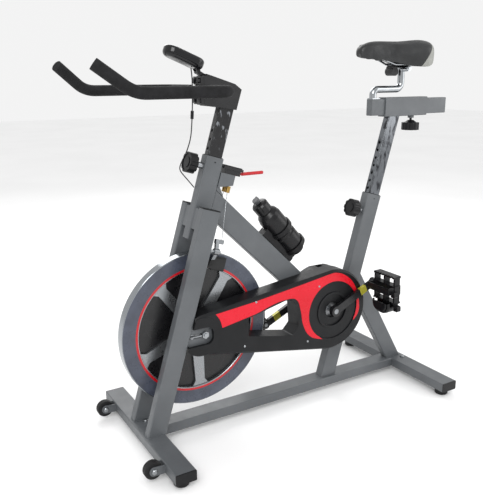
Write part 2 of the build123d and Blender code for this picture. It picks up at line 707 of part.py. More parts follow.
def cover_hull(offset, y0, y1):
    front, rear = COVER_FRONT_RADIUS - offset, COVER_REAR_RADIUS - offset
    return tangent_hull(WHEEL_X, WHEEL_Z + 2, front, CRANK_X, CRANK_Z, rear, y0, y1)


def before_cover(offset):
    return bar_on(FORK, -900, LEG_WIDTH / 2 + 0.5 + offset, -300, 300, -500, 1500)


def window_hole(grow, y0, y1):
    cx = sum(p[0] for p in WINDOW) / len(WINDOW)
    cz = sum(p[1] for p in WINDOW) / len(WINDOW)
    points = []
    for x, z in WINDOW:
        d = hypot(x - cx, z - cz)
        points.append((x + (x - cx) / d * grow, z + (z - cz) / d * grow))
    block = profile(points, y0, y1)
    return fillet(block.edges().filter_by(Axis.Y), 6)


def outer_cover():
    """Moulded cover over the drive: dished at the crank, with a boss and a slot at the wheel."""
    shell = cover_hull(0, COVER_OUTSIDE, COVER_INSIDE - PAN_THICK)
    face = shell.faces().sort_by(Axis.Y)[0]
    shell = chamfer(face.edges(), 7.0)
    shell -= cover_hull(COVER_WALL, COVER_OUTSIDE + 8.0, COVER_INSIDE)
    shell += window_hole(COVER_WALL, COVER_OUTSIDE, COVER_INSIDE - PAN_THICK)
    shell += disc(BOSS_X, WHEEL_Z, COVER_OUTSIDE - 1.5, COVER_OUTSIDE + 1, BOSS_RADIUS)
    shell -= window_hole(0, COVER_OUTSIDE - 5, COVER_INSIDE + 5)
    shell -= before_cover(0)
    dish = disc(CRANK_X, CRANK_Z, COVER_OUTSIDE - 1, COVER_OUTSIDE + 3.0, DISH_RADIUS)
    dish -= disc(CRANK_X, CRANK_Z, COVER_OUTSIDE - 2, COVER_OUTSIDE + 4.0, DISH_INNER + 8)
    dish += disc(CRANK_X, CRANK_Z, COVER_OUTSIDE - 1, COVER_OUTSIDE + 5.0, DISH_INNER)
    shell -= dish
    shell -= disc(CRANK_X, CRANK_Z, COVER_OUTSIDE - 1, COVER_INSIDE + 1, HUB_OPENING)
    start = leg_rear_x(WHEEL_Z)
    slot = box(start - 20, WHEEL_X + 21, COVER_OUTSIDE - 5, COVER_OUTSIDE + 14, WHEEL_Z - 26, WHEEL_Z + 26)
    slot = fillet(slot.edges().filter_by(Axis.Y).sort_by(Axis.X)[-2:], 20)
    shell -= slot
    for side in (-1, 1):
        shell -= grown_dropout(side)
    return shell


def grown_dropout(side):
    """Room for a dropout plate in the cover's end."""
    y0, y1 = sorted((side * (DROPOUT_Y - CLEAR), side * (DROPOUT_Y + DROPOUT_THICK + CLEAR)))
    half = DROPOUT_HEIGHT / 2 + CLEAR
    room = box(leg_rear_x(WHEEL_Z) - 40, WHEEL_X, y0, y1, WHEEL_Z - half, WHEEL_Z + half)
    return room + disc(WHEEL_X, WHEEL_Z, y0, y1, half)


def inner_cover():
    """Back pan with openings for the hub and the crank shell, and a hood between the two tubes."""
    pan = cover_hull(0, COVER_INSIDE - PAN_THICK, COVER_INSIDE)
    pan -= window_hole(0, COVER_INSIDE - 5, COVER_INSIDE + 5)
    pan -= disc(CRANK_X, CRANK_Z, COVER_INSIDE - 5, COVER_INSIDE + 5, SHELL_RADIUS + 1)
    pan -= box(WHEEL_X - 90, WHEEL_X, COVER_INSIDE - 5, COVER_INSIDE + 5, WHEEL_Z - 37, WHEEL_Z + 37)
    pan -= disc(WHEEL_X, WHEEL_Z, COVER_INSIDE - 5, COVER_INSIDE + 5, 37)
    pan -= before_cover(0)
    far = TUBE_DEPTH / 2 + 4
    hood = disc(CRANK_X, CRANK_Z, COVER_INSIDE, far, COVER_REAR_RADIUS - 3)
    hood -= disc(CRANK_X, CRANK_Z, COVER_INSIDE - 1, far - 2.5, COVER_REAR_RADIUS - 5.5)
    hood -= box(-100, 1000, -100, 100, CRANK_Z + COVER_REAR_RADIUS - 6, 900)
    above = bar_on(DIAGONAL, -500, -DIAGONAL_WIDTH / 2 - 0.2, COVER_INSIDE, far, -600, 600)
    ahead = bar_on(SEAT, -500, -SEAT_TUBE_WIDTH / 2 - 0.2, COVER_INSIDE, far, -500, 900)
    return pan + (hood & above & ahead)


# ---------------------------------------------------------------- handlebar post
BAR_POST_START = HEAD_TOP - BAR_POST_INSERT
BAR_POST_END = (BAR_POST_TOP - BASE_TOP) / cos(radians(FORK_LEAN)) + 30
HOLE_STEP = 25.0
PIN_NOSE = 0.4               # pin nose to the post's face


def bar_post():
    shape = tube_on(FORK, POST_WIDTH, POST_DEPTH, BAR_POST_START, BAR_POST_END, corner=3.0)
    for i in range(-2, 5):
        z = HEAD_PIN + i * HOLE_STEP
        shape -= cross_hole(FORK, z, -POST_WIDTH, 0, PIN_HOLE)
    return shape


HEAD_FRONT = BAR_X + 12.0
BRACKET_HALF = 22.0


def bar_bracket():
    """Black head welded on the post, with a cradle for the cross tube and an arm for the console."""
    outline = [(HEAD_FRONT, 953), (242, 949), (299, 940), (316, 994), (296, 1009), (226, 1031),
               (HEAD_FRONT, 1036)]
    shape = profile(outline, -BRACKET_HALF, BRACKET_HALF)
    shape -= profile([(x + (4 if x < 260 else -4), z + (4 if z < 1000 else -4)) for x, z in outline],
                     -BRACKET_HALF + 3, BRACKET_HALF - 3)
    shape -= tube_on(FORK, POST_WIDTH, POST_DEPTH, BAR_POST_START, BAR_POST_END, wall=0, corner=3.0)
    cradle = box(BAR_X + 4, HEAD_FRONT + 8, -BRACKET_HALF, BRACKET_HALF, BAR_Z - 38, BAR_Z + 38)
    shape += cradle - disc(BAR_X, BAR_Z, -60, 60, BAR_RADIUS)
    px, pz = CONSOLE_PIVOT
    arm = profile([(BAR_X + 12, 1024), (BAR_X + 26, 1030), (px + 3, pz + 4), (px - 3, pz - 4)], -ARM_HALF,
                  ARM_HALF)
    arm += disc(px, pz, -ARM_HALF, ARM_HALF, 5)
    shape += arm - disc(px, pz, -30, 30, 2.5 + RUN)
    shape -= disc(BAR_X, BAR_Z, -60, 60, BAR_RADIUS)
    return shape - tube_on(FORK, POST_WIDTH, POST_DEPTH, BAR_POST_START, BAR_POST_END, wall=0, corner=3.0)


def bar_path():
    """Half of the handlebar, from the middle of the cross tube to the tip."""
    tip_x, tip_y, tip_z = BAR_TIP
    return FilletPolyline((BAR_X, 0, BAR_Z), (BAR_X, -BAR_HALF_WIDTH, BAR_Z),
                          (BAR_BEND_X, -BAR_HALF_WIDTH, BAR_Z),
                          (tip_x, -tip_y, tip_z), radius=[34, 75])


def swept(path, radius):
    start = Plane(origin=path @ 0, z_dir=path % 0)
    return sweep(start * Circle(radius), path=path)


def handlebar():
    half = swept(bar_path(), BAR_RADIUS)
    return half + mirror(half, Plane.XZ)


def foam_grips():
    """Foam sleeve on each half, from beside the clamp to over the tip."""
    tip_x, tip_y, tip_z = BAR_TIP
    start_y = -40.0
    path = FilletPolyline((BAR_X, start_y, BAR_Z), (BAR_X, -BAR_HALF_WIDTH, BAR_Z),
                          (BAR_BEND_X, -BAR_HALF_WIDTH, BAR_Z),
                          (tip_x, -tip_y, tip_z), radius=[34, 75])
    half = swept(path, GRIP_RADIUS) - swept(bar_path(), BAR_RADIUS)
    direction = path % 1
    cap_start = Vector(tip_x, -tip_y, tip_z)
    cap = rod(tuple(cap_start), tuple(cap_start + direction * 5), GRIP_RADIUS)
    half = half + cap
    return joined(half, mirror(half, Plane.XZ))


def bar_clamp():
    """Front half of the clamp and its four bolts."""
    front = BAR_X - BAR_RADIUS - 4
    half = BRACKET_HALF
    cap = box(BAR_X - 6, BAR_X + 3.5, -half, half, BAR_Z - 36, BAR_Z + 36)
    cap += disc(BAR_X, BAR_Z, -half, half, BAR_RADIUS + 4.5) & box(front - 5, BAR_X + 3.5, -half, half,
                                                                   BAR_Z - 30, BAR_Z + 30)
    cap -= disc(BAR_X, BAR_Z, -60, 60, BAR_RADIUS)
    shapes = [cap]
    for dz in (-26, 26):
        for y in (-14, 14):
            shapes.append(hexagon(BAR_X - 6, y, BAR_Z + dz, 12, 6, (-1, 0, 0)))
    return joined(*shapes)


# ---------------------------------------------------------------- console
CONSOLE = (153.0, 0.0, 1077.0)
CONSOLE_TILT = 22.0
CONSOLE_SIZE = (116.0, 58.0, 29.0)
CONSOLE_PIVOT = (193.0, 1040.5)
BUTTON_RADIUS = 4.5
ARM_HALF = 6.0


def console_frame():
    return Plane(Location(CONSOLE, (0, CONSOLE_TILT, 0)))


def console():
    """Display pod with a lug that turns on the bracket's arm."""
    length, width, thick = CONSOLE_SIZE
    pod = Box(length, width, thick)
    pod = fillet(pod.edges().filter_by(Axis.Z), width / 2 - 1)
    pod = fillet(pod.edges().group_by(Axis.Z)[0], 13)
    pod = fillet(pod.edges().group_by(Axis.Z)[-1], 9)
    pod -= at(-8, 0, thick / 2) * Box(length - 58, width - 26, 2.4)
    pod -= at(length / 2 - 19, 0, thick / 2) * Cylinder(BUTTON_RADIUS + CLEAR, 9)
    pod = on(console_frame(), pod)
    px, pz = CONSOLE_PIVOT
    for side in (-1, 1):
        y0, y1 = sorted((side * (ARM_HALF + CLEAR), side * (ARM_HALF + 4)))
        ear = disc(px, pz, y0, y1, 5) + profile([(px - 5, pz), (px + 5, pz), (px + 1, pz + 14),
                                                 (px - 14, pz + 18)], y0, y1)
        pod += ear
    pod += disc(px, pz, -ARM_HALF - 4, ARM_HALF + 4, 2.5)
    return pod


def console_button():
    length, _, thick = CONSOLE_SIZE
    button = at(length / 2 - 19, 0, thick / 2 - 0.4) * Cylinder(BUTTON_RADIUS, 4.0)
    return on(console_frame(), button)


# Lead from the console down past the knob to the head tube.
LEAD_RADIUS = 1.6
LEAD = [(174, 0, 1051), (177, 0, 1028), (177, 1, 996), (176, 0, 962), (175, 2, 928), (176, 9, 896),
        (179, 22, 868),
        (176, 34, 840), (166, 38, 816), (151, 34, 796), (144, 27, 781), (157, 21,
                                                                         763), (170, 16, 746), (180, 12, 732)]


def arc_radii(points):
    """Radius at each corner: 0.45 of the shorter run over the tangent of half the turn."""
    radii = []
    for a, b, c in zip(points, points[1:], points[2:]):
        u, v = Vector(*b) - Vector(*a), Vector(*c) - Vector(*b)
        turn = radians(u.get_angle(v))
        radii.append(0.45 * min(u.length, v.length) / tan(turn / 2))
    return radii


def cord(points, radius):
    radii = arc_radii(points)
    print("cord arcs", [round(r, 1) for r in radii])
    return swept(FilletPolyline(*points, radius=radii), radius)


def console_lead():
    return cord(LEAD, LEAD_RADIUS)


# ---------------------------------------------------------------- brake
LEVER_PIVOT = (84.0, 767.5)  # in the fork's frame
PLATE_LOW, PLATE_HIGH = 775.5, 783.0
CABLE_RADIUS = 1.0
CABLE_END_Y = 43.0
CABLE_END_Z = 583.0
CABLE_END_X = 66.0


def brake_housing():
    """Plate and block on the bracket that hold the lever, with two cable adjusters below."""
    plate = bar_on(FORK, 34, 100, -17, 17, PLATE_LOW, PLATE_HIGH)
    plate = fillet(plate.edges().filter_by(lambda e: abs(e.length - (PLATE_HIGH - PLATE_LOW)) < 0.01), 5)
    plate += bar_on(FORK, 38, 96, -11, 11, PLATE_HIGH, PLATE_HIGH + 3)
    body = bar_on(FORK, 42, 70, -13, 13, BRACKET_HIGH, PLATE_LOW)
    for y in (-BARREL_Y, BARREL_Y):
        body -= on(FORK, rod((BARREL_X, y, BRACKET_HIGH - 5), (BARREL_X, y, PLATE_LOW + 1),
                             CABLE_RADIUS + 0.5))
    cheeks = bar_on(FORK, 70, 92, -13, -7.5, BRACKET_HIGH,
                    PLATE_LOW) + bar_on(FORK, 70, 92, 7.5, 13, BRACKET_HIGH, PLATE_LOW)
    shape = plate + body + cheeks
    shape += rod(point_on(FORK, LEVER_PIVOT[0], -13, LEVER_PIVOT[1]),
                 point_on(FORK, LEVER_PIVOT[0], 13, LEVER_PIVOT[1]), 2.5)
    shapes = [shape]
    for y in (-BARREL_Y, BARREL_Y):
        low = lower_edge(BARREL_X)
        barrel = on(FORK, rod((BARREL_X, y, low - 20), (BARREL_X, y, low - 1.6), BARREL_RADIUS))
        barrel -= on(FORK, rod((BARREL_X, y, low - 30), (BARREL_X, y, low + 4), CABLE_RADIUS + 0.5))
        shapes.append(barrel)
    return joined(*shapes)


def brake_lever():
    """Flat lever between the cheeks with a sleeved handle to the rear."""
    px, _, pz = point_on(FORK, LEVER_PIVOT[0], 0, LEVER_PIVOT[1])
    eye = disc(px, pz, -6, 6, 6) - disc(px, pz, -7, 7, 2.5 + RUN)
    blade = profile([(px + 4, pz - 3.5), (px + 24, pz - 6), (px + 24, pz + 0.5), (px + 4, pz + 3)], -2.5, 2.5)
    handle = rod((px + 20, 0, pz - 2.5), (px + 92, 0, pz - 2.5), 5.0)
    return eye + blade + fillet(handle.edges().sort_by(Axis.X)[-1], 3)


ARM_X0 = LEG_WIDTH / 2 + 18
ARM_X1 = LEG_WIDTH / 2 + 28
PAD_GAP = 2.0
PAD_X0, PAD_X1 = 64.0, 107.0
PAD_LOW, PAD_HIGH = 487.0, 527.0


def brake_arm(side):
    """Caliper arm on its stud: the cable lifts the inner end and the pad closes on the rim."""
    def local(x0, x1, y0, y1, z0, z1):
        lo, hi = sorted((side * y0, side * y1))
        return bar_on(FORK, x0, x1, lo, hi, z0, z1)

    def plate(points):
        flat = make_face(Polyline(*[(ARM_X0, side * y, z) for y, z in points], close=True))
        return on(FORK, extrude(flat, amount=ARM_X1 - ARM_X0, dir=(1, 0, 0)))

    pad_in = FLYWHEEL_WIDTH / 2 + PAD_GAP
    boss = on(FORK, rod((ARM_X0 - 3, side * STUD_Y, STUD_Z), (ARM_X1 + 3, side * STUD_Y, STUD_Z), 9))
    upper = plate([(STUD_Y + 4, STUD_Z + 4), (STUD_Y - 6, STUD_Z + 6), (CABLE_END_Y - 5, CABLE_END_Z - 6),
                   (CABLE_END_Y + 5, CABLE_END_Z - 4)])
    head = local(ARM_X0, CABLE_END_X + 6, CABLE_END_Y - 5, CABLE_END_Y + 5, CABLE_END_Z - 16, CABLE_END_Z - 4)
    lower = plate([(STUD_Y + 6, STUD_Z), (STUD_Y - 6, STUD_Z), (pad_in + 12, PAD_HIGH - 2),
                   (pad_in + 12, PAD_LOW + 14),
                   (pad_in + 22, PAD_LOW + 14)])
    holder = local(ARM_X0, PAD_X1 - 3, pad_in + 9, pad_in + 13, PAD_LOW + 4, PAD_HIGH - 4)
    pad = local(PAD_X0, PAD_X1, pad_in, pad_in + 9, PAD_LOW, PAD_HIGH)
    shape = boss + upper + head + lower + holder + pad
    shape -= on(FORK, rod((ARM_X0 - 9, side * STUD_Y, STUD_Z), (ARM_X1 + 9, side * STUD_Y, STUD_Z),
                          STUD_RADIUS + RUN))
    return shape


def cable(side):
    """Steel cable from the bracket through its adjuster to the arm's upper end."""
    low = lower_edge(BARREL_X)
    knee = (BARREL_X, side * BARREL_Y, low - 20)
    top = (BARREL_X, side * BARREL_Y, BRACKET_HIGH + 8)
    end = (CABLE_END_X, side * CABLE_END_Y, CABLE_END_Z - 3.0)
    path = FilletPolyline(top, knee, end, radius=40)
    return on(FORK, swept(path, CABLE_RADIUS))


# ---------------------------------------------------------------- seat post, slide and saddle
SEAT_POST_START = SEAT_TUBE_LENGTH - SEAT_POST_INSERT
SLEEVE_BOTTOM = SLIDE_Z - SLEEVE_HEIGHT / 2


def seat_post():
    shape = tube_on(SEAT, POST_WIDTH, POST_DEPTH, SEAT_POST_START, SEAT_POST_START + 600, corner=3.0)
    for i in range(-4, 10):
        z = SEAT_PIN + i * HOLE_STEP
        shape -= cross_hole(SEAT, z, -POST_WIDTH, 0, PIN_HOLE)
    return shape - box(0, 2000, -300, 300, SLEEVE_BOTTOM, 2500)


CLAMP_X = 979.0


def slider_sleeve():
    shape = extrude(Plane.YZ * section(SLEEVE_DEPTH, SLEEVE_HEIGHT, WALL, 3.0),
                    amount=SLEEVE_REAR - SLEEVE_FRONT)
    shape = at(SLEEVE_FRONT, 0, SLIDE_Z) * shape
    band_outer = section(SLEEVE_DEPTH - 2 * WALL, SLEEVE_HEIGHT - 2 * WALL, 0, 1.5)
    band_inner = section(SLIDER_DEPTH + 2 * SLIDE_GAP, SLIDER_HEIGHT + 2 * SLIDE_GAP, 0, 3.0)
    for x, length in ((SLEEVE_FRONT, 26), (SLEEVE_REAR - 26, 26)):
        shape += at(x, 0, SLIDE_Z) * extrude(Plane.YZ * (band_outer - band_inner), amount=length)
    shape += rod((CLAMP_X, 0, SLEEVE_BOTTOM - 8), (CLAMP_X, 0, SLEEVE_BOTTOM), 10)
    return shape - rod((CLAMP_X, 0, SLEEVE_BOTTOM - 20),
                       (CLAMP_X, 0, SLIDE_Z - SLIDER_HEIGHT / 2 - SLIDE_GAP), 4 + RUN)


def slider_tube():
    """Inner tube of the slide with its end plugs."""
    place = at(SLIDER_FRONT, 0, SLIDE_Z)
    shape = place * extrude(Plane.YZ * section(SLIDER_DEPTH, SLIDER_HEIGHT, WALL, 3.0),
                            amount=SLIDER_REAR - SLIDER_FRONT)
    plug = section(SLIDER_DEPTH - 2 * WALL, SLIDER_HEIGHT - 2 * WALL, 0, 1.0)
    shape += place * extrude(Plane.YZ * plug, amount=30)
    return shape + at(SLIDER_REAR - 8, 0, SLIDE_Z) * extrude(Plane.YZ * plug, amount=8)


STALK_RADIUS = 11.1
STALK_X = 809.0
STALK_RISE = 987.0
CLAMP_CENTRE = (925.0, 1049.0)


HEAD_HALF = 14.0             # the stalk's head, and the bolt that the saddle tilts on
BOLT_RISE = 2.0
TILT_BOLT = 5.0


def saddle_stalk():
    top = SLIDE_Z + SLIDER_HEIGHT / 2
    path = FilletPolyline((STALK_X, 0, top), (STALK_X, 0, STALK_RISE), (CLAMP_CENTRE[0], 0, STALK_RISE),
                          (CLAMP_CENTRE[0], 0, CLAMP_CENTRE[1] + BOLT_RISE), radius=[17, 20])
    foot_plate = box(SLIDER_FRONT + 1, STALK_X + 20, -12, 12, top, top + 3)
    cx, cz = CLAMP_CENTRE
    head = disc(cx, cz + BOLT_RISE, -HEAD_HALF, HEAD_HALF, 11)
    return swept(path, STALK_RADIUS) + foot_plate + head - disc(cx, cz + BOLT_RISE, -40, 40, TILT_BOLT + RUN)


RAIL_RADIUS = 3.5
RAIL_Y = 22.0


def saddle_clamp():
    """Cross bolt clamp on the stalk's top, the two rails that carry the saddle and a rubber buffer."""
    cx, cz = CLAMP_CENTRE
    shape = disc(cx, cz + BOLT_RISE, -38, 38, TILT_BOLT)
    for side in (-1, 1):
        y0, y1 = sorted((side * (HEAD_HALF + CLEAR), side * 32))
        shape += disc(cx, cz + BOLT_RISE, y0, y1, 10)
        shape += disc(cx, cz + BOLT_RISE, side * 34 - 2, side * 34 + 2, 8.5)
        y = side * RAIL_Y
        path = FilletPolyline((cx - 104, side * 13, cz + 34), (cx - 48, y, cz + 14), (cx + 34, y, cz + 14),
                              (cx + 66, side * 34, cz + 30), radius=[30, 22])
        shape += swept(path, RAIL_RADIUS)
        lo, hi = sorted((y - 5, y + 5))
        shape += box(cx - 15, cx + 15, lo, hi, cz + 4, cz + 18)
    buffer = disc(cx - 42, cz - 8, -17, 17, 13)
    buffer += profile([(cx - 52, cz - 6), (cx - 32, cz - 6), (cx - 36, cz + 13), (cx - 48, cz + 13)], -17, 17)
    return joined(shape, buffer - rod((cx - 60, RAIL_Y, cz + 14), (cx, RAIL_Y, cz + 14), 9)
                  - rod((cx - 60, -RAIL_Y, cz + 14), (cx, -RAIL_Y, cz + 14), 9))


SADDLE_NOSE = 741.0
SADDLE_HALF = 84.0
# along the length: half width, top, skirt and belly heights
SADDLE_STATIONS = [(0, 9, 1104, 1086), (10, 18, 1116, 1082), (50, 25, 1127, 1080), (112, 34, 1128, 1076),
                   (168, 60, 1128, 1066), (215, SADDLE_HALF, 1130,
                                           1063), (248, 74, 1129, 1070), (272, 44, 1122, 1088)]


def saddle():
    """Plain solid of the padded saddle, lofted through its cross sections."""
    faces = []
    for x, half, top, low in SADDLE_STATIONS:
        plane = Plane(origin=(SADDLE_NOSE + x, 0, 0), x_dir=(0, 1, 0), z_dir=(1, 0, 0))
        edge = low + 0.45 * (top - low)
        crown = Spline((-half, edge), (-0.78 * half, top - 3), (0, top), (0.78 * half, top - 3), (half, edge),
                       tangents=[(0, 1), (0, -1)])
        belly = Spline((half, edge), (0.75 * half, low), (0, low + 6), (-0.75 * half, low), (-half, edge),
                       tangents=[(0, -1), (0, 1)])
        faces.append(plane.location * make_face([crown, belly]))
    return loft(faces)


# ---------------------------------------------------------------- knobs
def lobed_knob(plane):
    """Round knob with finger scallops and a coned neck, along the plane's z."""
    low = (Align.CENTER, Align.CENTER, Align.MIN)
    body = at(0, 0, KNOB_NECK) * Cylinder(KNOB_RADIUS, KNOB_LENGTH, align=low)
    for i in range(10):
        a = radians(i * 36)
        reach = KNOB_RADIUS + 4.5
        body -= at(reach * cos(a), reach * sin(a), KNOB_NECK + KNOB_LENGTH / 2) * Cylinder(7, KNOB_LENGTH + 2)
    body += Cone(COLLAR_RADIUS, KNOB_RADIUS - 8, KNOB_NECK, align=low)
    top = KNOB_NECK + KNOB_LENGTH
    body -= at(0, 0, top - 2) * (Cylinder(KNOB_RADIUS - 5, 3,
                                          align=low) - Cylinder(KNOB_RADIUS - 14, 3, align=low))
    return on(plane, body)


def pin_knob(plane, width, z):
    """Pull knob with its pin through the collar and the tube wall, up to the post."""
    root = -width / 2 - COLLAR_LENGTH - CLEAR
    origin = point_on(plane, root, 0, z)
    tip = point_on(plane, -POST_WIDTH / 2 - PIN_NOSE, 0, z)
    out = Plane(origin=origin, z_dir=tuple(-plane.x_dir))
    return lobed_knob(out) + rod(origin, tip, PIN_RADIUS)


def slider_knob():
    """Clamp screw under the sleeve; its tip stops just short of the inner tube."""
    top = SLEEVE_BOTTOM - 8 - 7
    plane = Plane(origin=(CLAMP_X, 0, top), z_dir=(0, 0, -1))
    return lobed_knob(plane) + rod((CLAMP_X, 0, top), (CLAMP_X, 0, SLIDE_Z - SLIDER_HEIGHT / 2 - PIN_NOSE), 4)


# ---------------------------------------------------------------- transport wheels, bottle
def transport_wheel(side):
    y0, y1 = side * ROLLER_Y - ROLLER_WIDTH / 2, side * ROLLER_Y + ROLLER_WIDTH / 2
    tyre = disc(WHEEL_AXLE_X, WHEEL_AXLE_Z, y0, y1, ROLLER_RADIUS)
    tyre = fillet(tyre.edges().filter_by(GeomType.CIRCLE), 3)
    return tyre - disc(WHEEL_AXLE_X, WHEEL_AXLE_Z, y0 - 1, y1 + 1, ROLLER_BOLT + RUN)


BOTTLE_OFFSET = 81.0         # tube centre line to bottle axis, at its base
BOTTLE_TILT = 4.3
BOTTLE_RADIUS = 36.5
BOTTLE_BASE = -211.0         # along the diagonal tube from the crank
BOTTLE_LENGTH = 166.0
CAP_RADIUS = 25.0
CAP_TOP = BOTTLE_LENGTH + 36


def bottle_frame(tilt=BOTTLE_TILT):
    """z up along the bottle, from its base; x points at the tube."""
    origin = point_on(DIAGONAL, -BOTTLE_OFFSET, 0, BOTTLE_BASE)
    plane = Plane(origin=origin, x_dir=tuple(DIAGONAL.x_dir), z_dir=tuple(-DIAGONAL.z_dir))
    return plane.rotated((0, tilt, 0))


def bottle():
    r, length = BOTTLE_RADIUS, BOTTLE_LENGTH
    with BuildPart() as made:
        with BuildSketch(Plane.XZ):
            with BuildLine():
                Polyline((0, 0), (r - 3, 0), (r, 3), (r, 62), (r - 2.5, 66), (r - 2.5, 74), (r, 78),
                         (r, length - 26),
                         (r - 4, length - 12), (r - 12, length - 2), (CAP_RADIUS - 3,
                                                                      length), (CAP_RADIUS - 3, length + 2),
                         (CAP_RADIUS, length + 3), (CAP_RADIUS, length + 28), (CAP_RADIUS - 4, length + 33),
                         (12, length + 36), (0, length + 36), (0, 0))
            make_face()
        revolve(axis=Axis.Z)
    shape = made.part
    for angle in (60, 240):
        lug = at(0, 0, length + 26) * Box(14, 5, 26)
        shape += Rot(0, 0, angle) * at(CAP_RADIUS + 2, 0, 0) * lug
    return on(bottle_frame(), shape)


def bottle_spout():
    low = (Align.CENTER, Align.CENTER, Align.MIN)
    spout = at(0, 0, CAP_TOP + CLEAR) * Cylinder(8, 8, align=low)
    spout += at(0, 0, CAP_TOP + CLEAR + 8) * Cylinder(11, 6, align=low)
    return on(bottle_frame(), spout)


CAGE_LOW, CAGE_HIGH = -14.0, 126.0


def bottle_cage():
    """Plastic cage on the diagonal tube: back plate, two open rings and a foot."""
    plane = bottle_frame()
    gap = 0.8
    reach = BOTTLE_RADIUS + gap
    plate = box(reach - 12, reach + 30, -15, 15, CAGE_LOW, CAGE_HIGH)
    plate -= at(0, 0, 60) * Cylinder(reach, 500)
    shape = on(plane, plate)
    shape -= bar_on(DIAGONAL, -DIAGONAL_WIDTH / 2, 600, -200, 200, -900, 900)
    for z, tall in ((12, 14), (88, 14)):
        grip = at(0, 0, z) * (Cylinder(reach + 3.5, tall) - Cylinder(reach, tall + 2))
        shape += on(plane, grip)
    floor = at(0, 0, CAGE_LOW / 2 - gap) * Cylinder(reach - 14, -CAGE_LOW - 2 * gap)
    floor = floor + box(0, reach, -12, 12, CAGE_LOW, -gap)
    return shape + on(plane, floor) - bar_on(DIAGONAL, -DIAGONAL_WIDTH / 2, 600, -200, 200, -900, 900)


# ---------------------------------------------------------------- every node
PARTS = {
    "front_stabiliser": stabiliser(0),
    "rear_stabiliser": stabiliser(WHEELBASE),
    "bottom_tube": bottom_tube(),
    "left_fork_leg": fork_leg(-1),
    "right_fork_leg": fork_leg(1),
    "head_tube": head_tube(),
    "diagonal_tube": diagonal_tube(),
    "seat_tube": seat_tube(),
    "rear_brace": rear_brace(),
    "welded_fittings": welded_fittings(),
    "frame_fasteners": frame_fasteners(),
    "flywheel_axle": flywheel_axle(),
    "tube_caps": tube_caps(),
    "bottle_cage": bottle_cage(),
    "brake_housing": brake_housing(),
    "post_bushings": post_bushings(),
    "outer_cover": outer_cover(),
    "inner_cover": inner_cover(),
    "bracket_bearings": bracket_bearings(),
    "left_brake_cable": cable(-1),
    "right_brake_cable": cable(1),
    "drive_belt": drive_belt(),
    "flywheel": flywheel(),
    "flywheel_pulley": flywheel_pulley(),
    "hub_bearings": hub_bearings(),
    "crank_spindle": crank_spindle(),
    "drive_pulley": drive_pulley(),
    "left_crank": crank_arm(-1),
    "right_crank": crank_arm(1),
    "pedal_spindles": pedal_spindles(),
    "left_pedal": pedal(-1),
    "right_pedal": pedal(1),
    "bar_post": bar_post(),
    "bar_bracket": bar_bracket(),
    "handlebar": handlebar(),
    "foam_grips": foam_grips(),
    "bar_clamp": bar_clamp(),
    "console": console(),
    "console_button": console_button(),
    "console_lead": console_lead(),
    "seat_post": seat_post(),
    "slider_sleeve": slider_sleeve(),
    "slider_tube": slider_tube(),
    "saddle_stalk": saddle_stalk(),
    "saddle_clamp": saddle_clamp() - saddle(),
    "saddle": saddle(),
    "head_knob": pin_knob(FORK, HEAD_WIDTH, HEAD_PIN),
    "seat_knob": pin_knob(SEAT, SEAT_TUBE_WIDTH, SEAT_PIN),
    "slider_knob": slider_knob(),
    "brake_lever": brake_lever(),
    "left_brake_arm": brake_arm(-1),
    "right_brake_arm": brake_arm(1),
    "left_wheel": transport_wheel(-1),
    "right_wheel": transport_wheel(1),
    "bottle": bottle(),
    "bottle_spout": bottle_spout(),
    "front_left_foot": foot(0, -1),
    "front_right_foot": foot(0, 1),
    "rear_left_foot": foot(WHEELBASE, -1),
    "rear_right_foot": foot(WHEELBASE, 1),
}

BOXES = [shape.bounding_box() for shape in PARTS.values()]
MIDDLE_X = (min(b.min.X for b in BOXES) + max(b.max.X for b in BOXES)) / 2

os.makedirs("parts", exist_ok=True)
for name, shape in PARTS.items():
    export_step(Pos(-MIDDLE_X, 0, 0) * shape, f"parts/{name}.step")
print("nodes", len(PARTS), "middle x", round(MIDDLE_X, 3), "height", round(max(b.max.Z for b in BOXES), 1))
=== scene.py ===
from math import cos, radians, sin

import bpy
from mathutils import Matrix, Vector


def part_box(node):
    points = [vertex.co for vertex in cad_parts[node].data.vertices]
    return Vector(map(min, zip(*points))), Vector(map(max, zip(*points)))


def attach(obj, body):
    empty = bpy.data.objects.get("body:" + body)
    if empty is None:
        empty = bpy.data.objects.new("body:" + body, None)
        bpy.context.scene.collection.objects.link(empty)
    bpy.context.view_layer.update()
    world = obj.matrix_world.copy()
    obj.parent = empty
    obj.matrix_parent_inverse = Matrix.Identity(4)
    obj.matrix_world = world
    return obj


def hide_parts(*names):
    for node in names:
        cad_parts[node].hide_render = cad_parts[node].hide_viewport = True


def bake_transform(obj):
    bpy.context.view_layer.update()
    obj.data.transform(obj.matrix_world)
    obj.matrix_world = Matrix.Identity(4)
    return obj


# Indoor spin bike. Metres, +Z up, the front towards -X and the drive cover on the -Y side.
MM = 0.001


def middle(node):
    low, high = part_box(node)
    return (Vector(low) + Vector(high)) / 2


def deselect():
    if bpy.context.object and bpy.context.object.mode != "OBJECT":
        bpy.ops.object.mode_set(mode="OBJECT")
    bpy.ops.object.select_all(action="DESELECT")


def pick(obj):
    deselect()
    obj.select_set(True)
    bpy.context.view_layer.objects.active = obj


def settle(obj):
    """Leaves a finished piece at the origin, with its place in its mesh."""
    pick(obj)
    bpy.ops.object.transform_apply(location=True, rotation=True, scale=True)


def modify(obj, kind, **settings):
    modifier = obj.modifiers.new(kind.title(), kind)
    for key, value in settings.items():
        setattr(modifier, key, value)
    pick(obj)
    bpy.ops.object.modifier_apply(modifier=modifier.name)


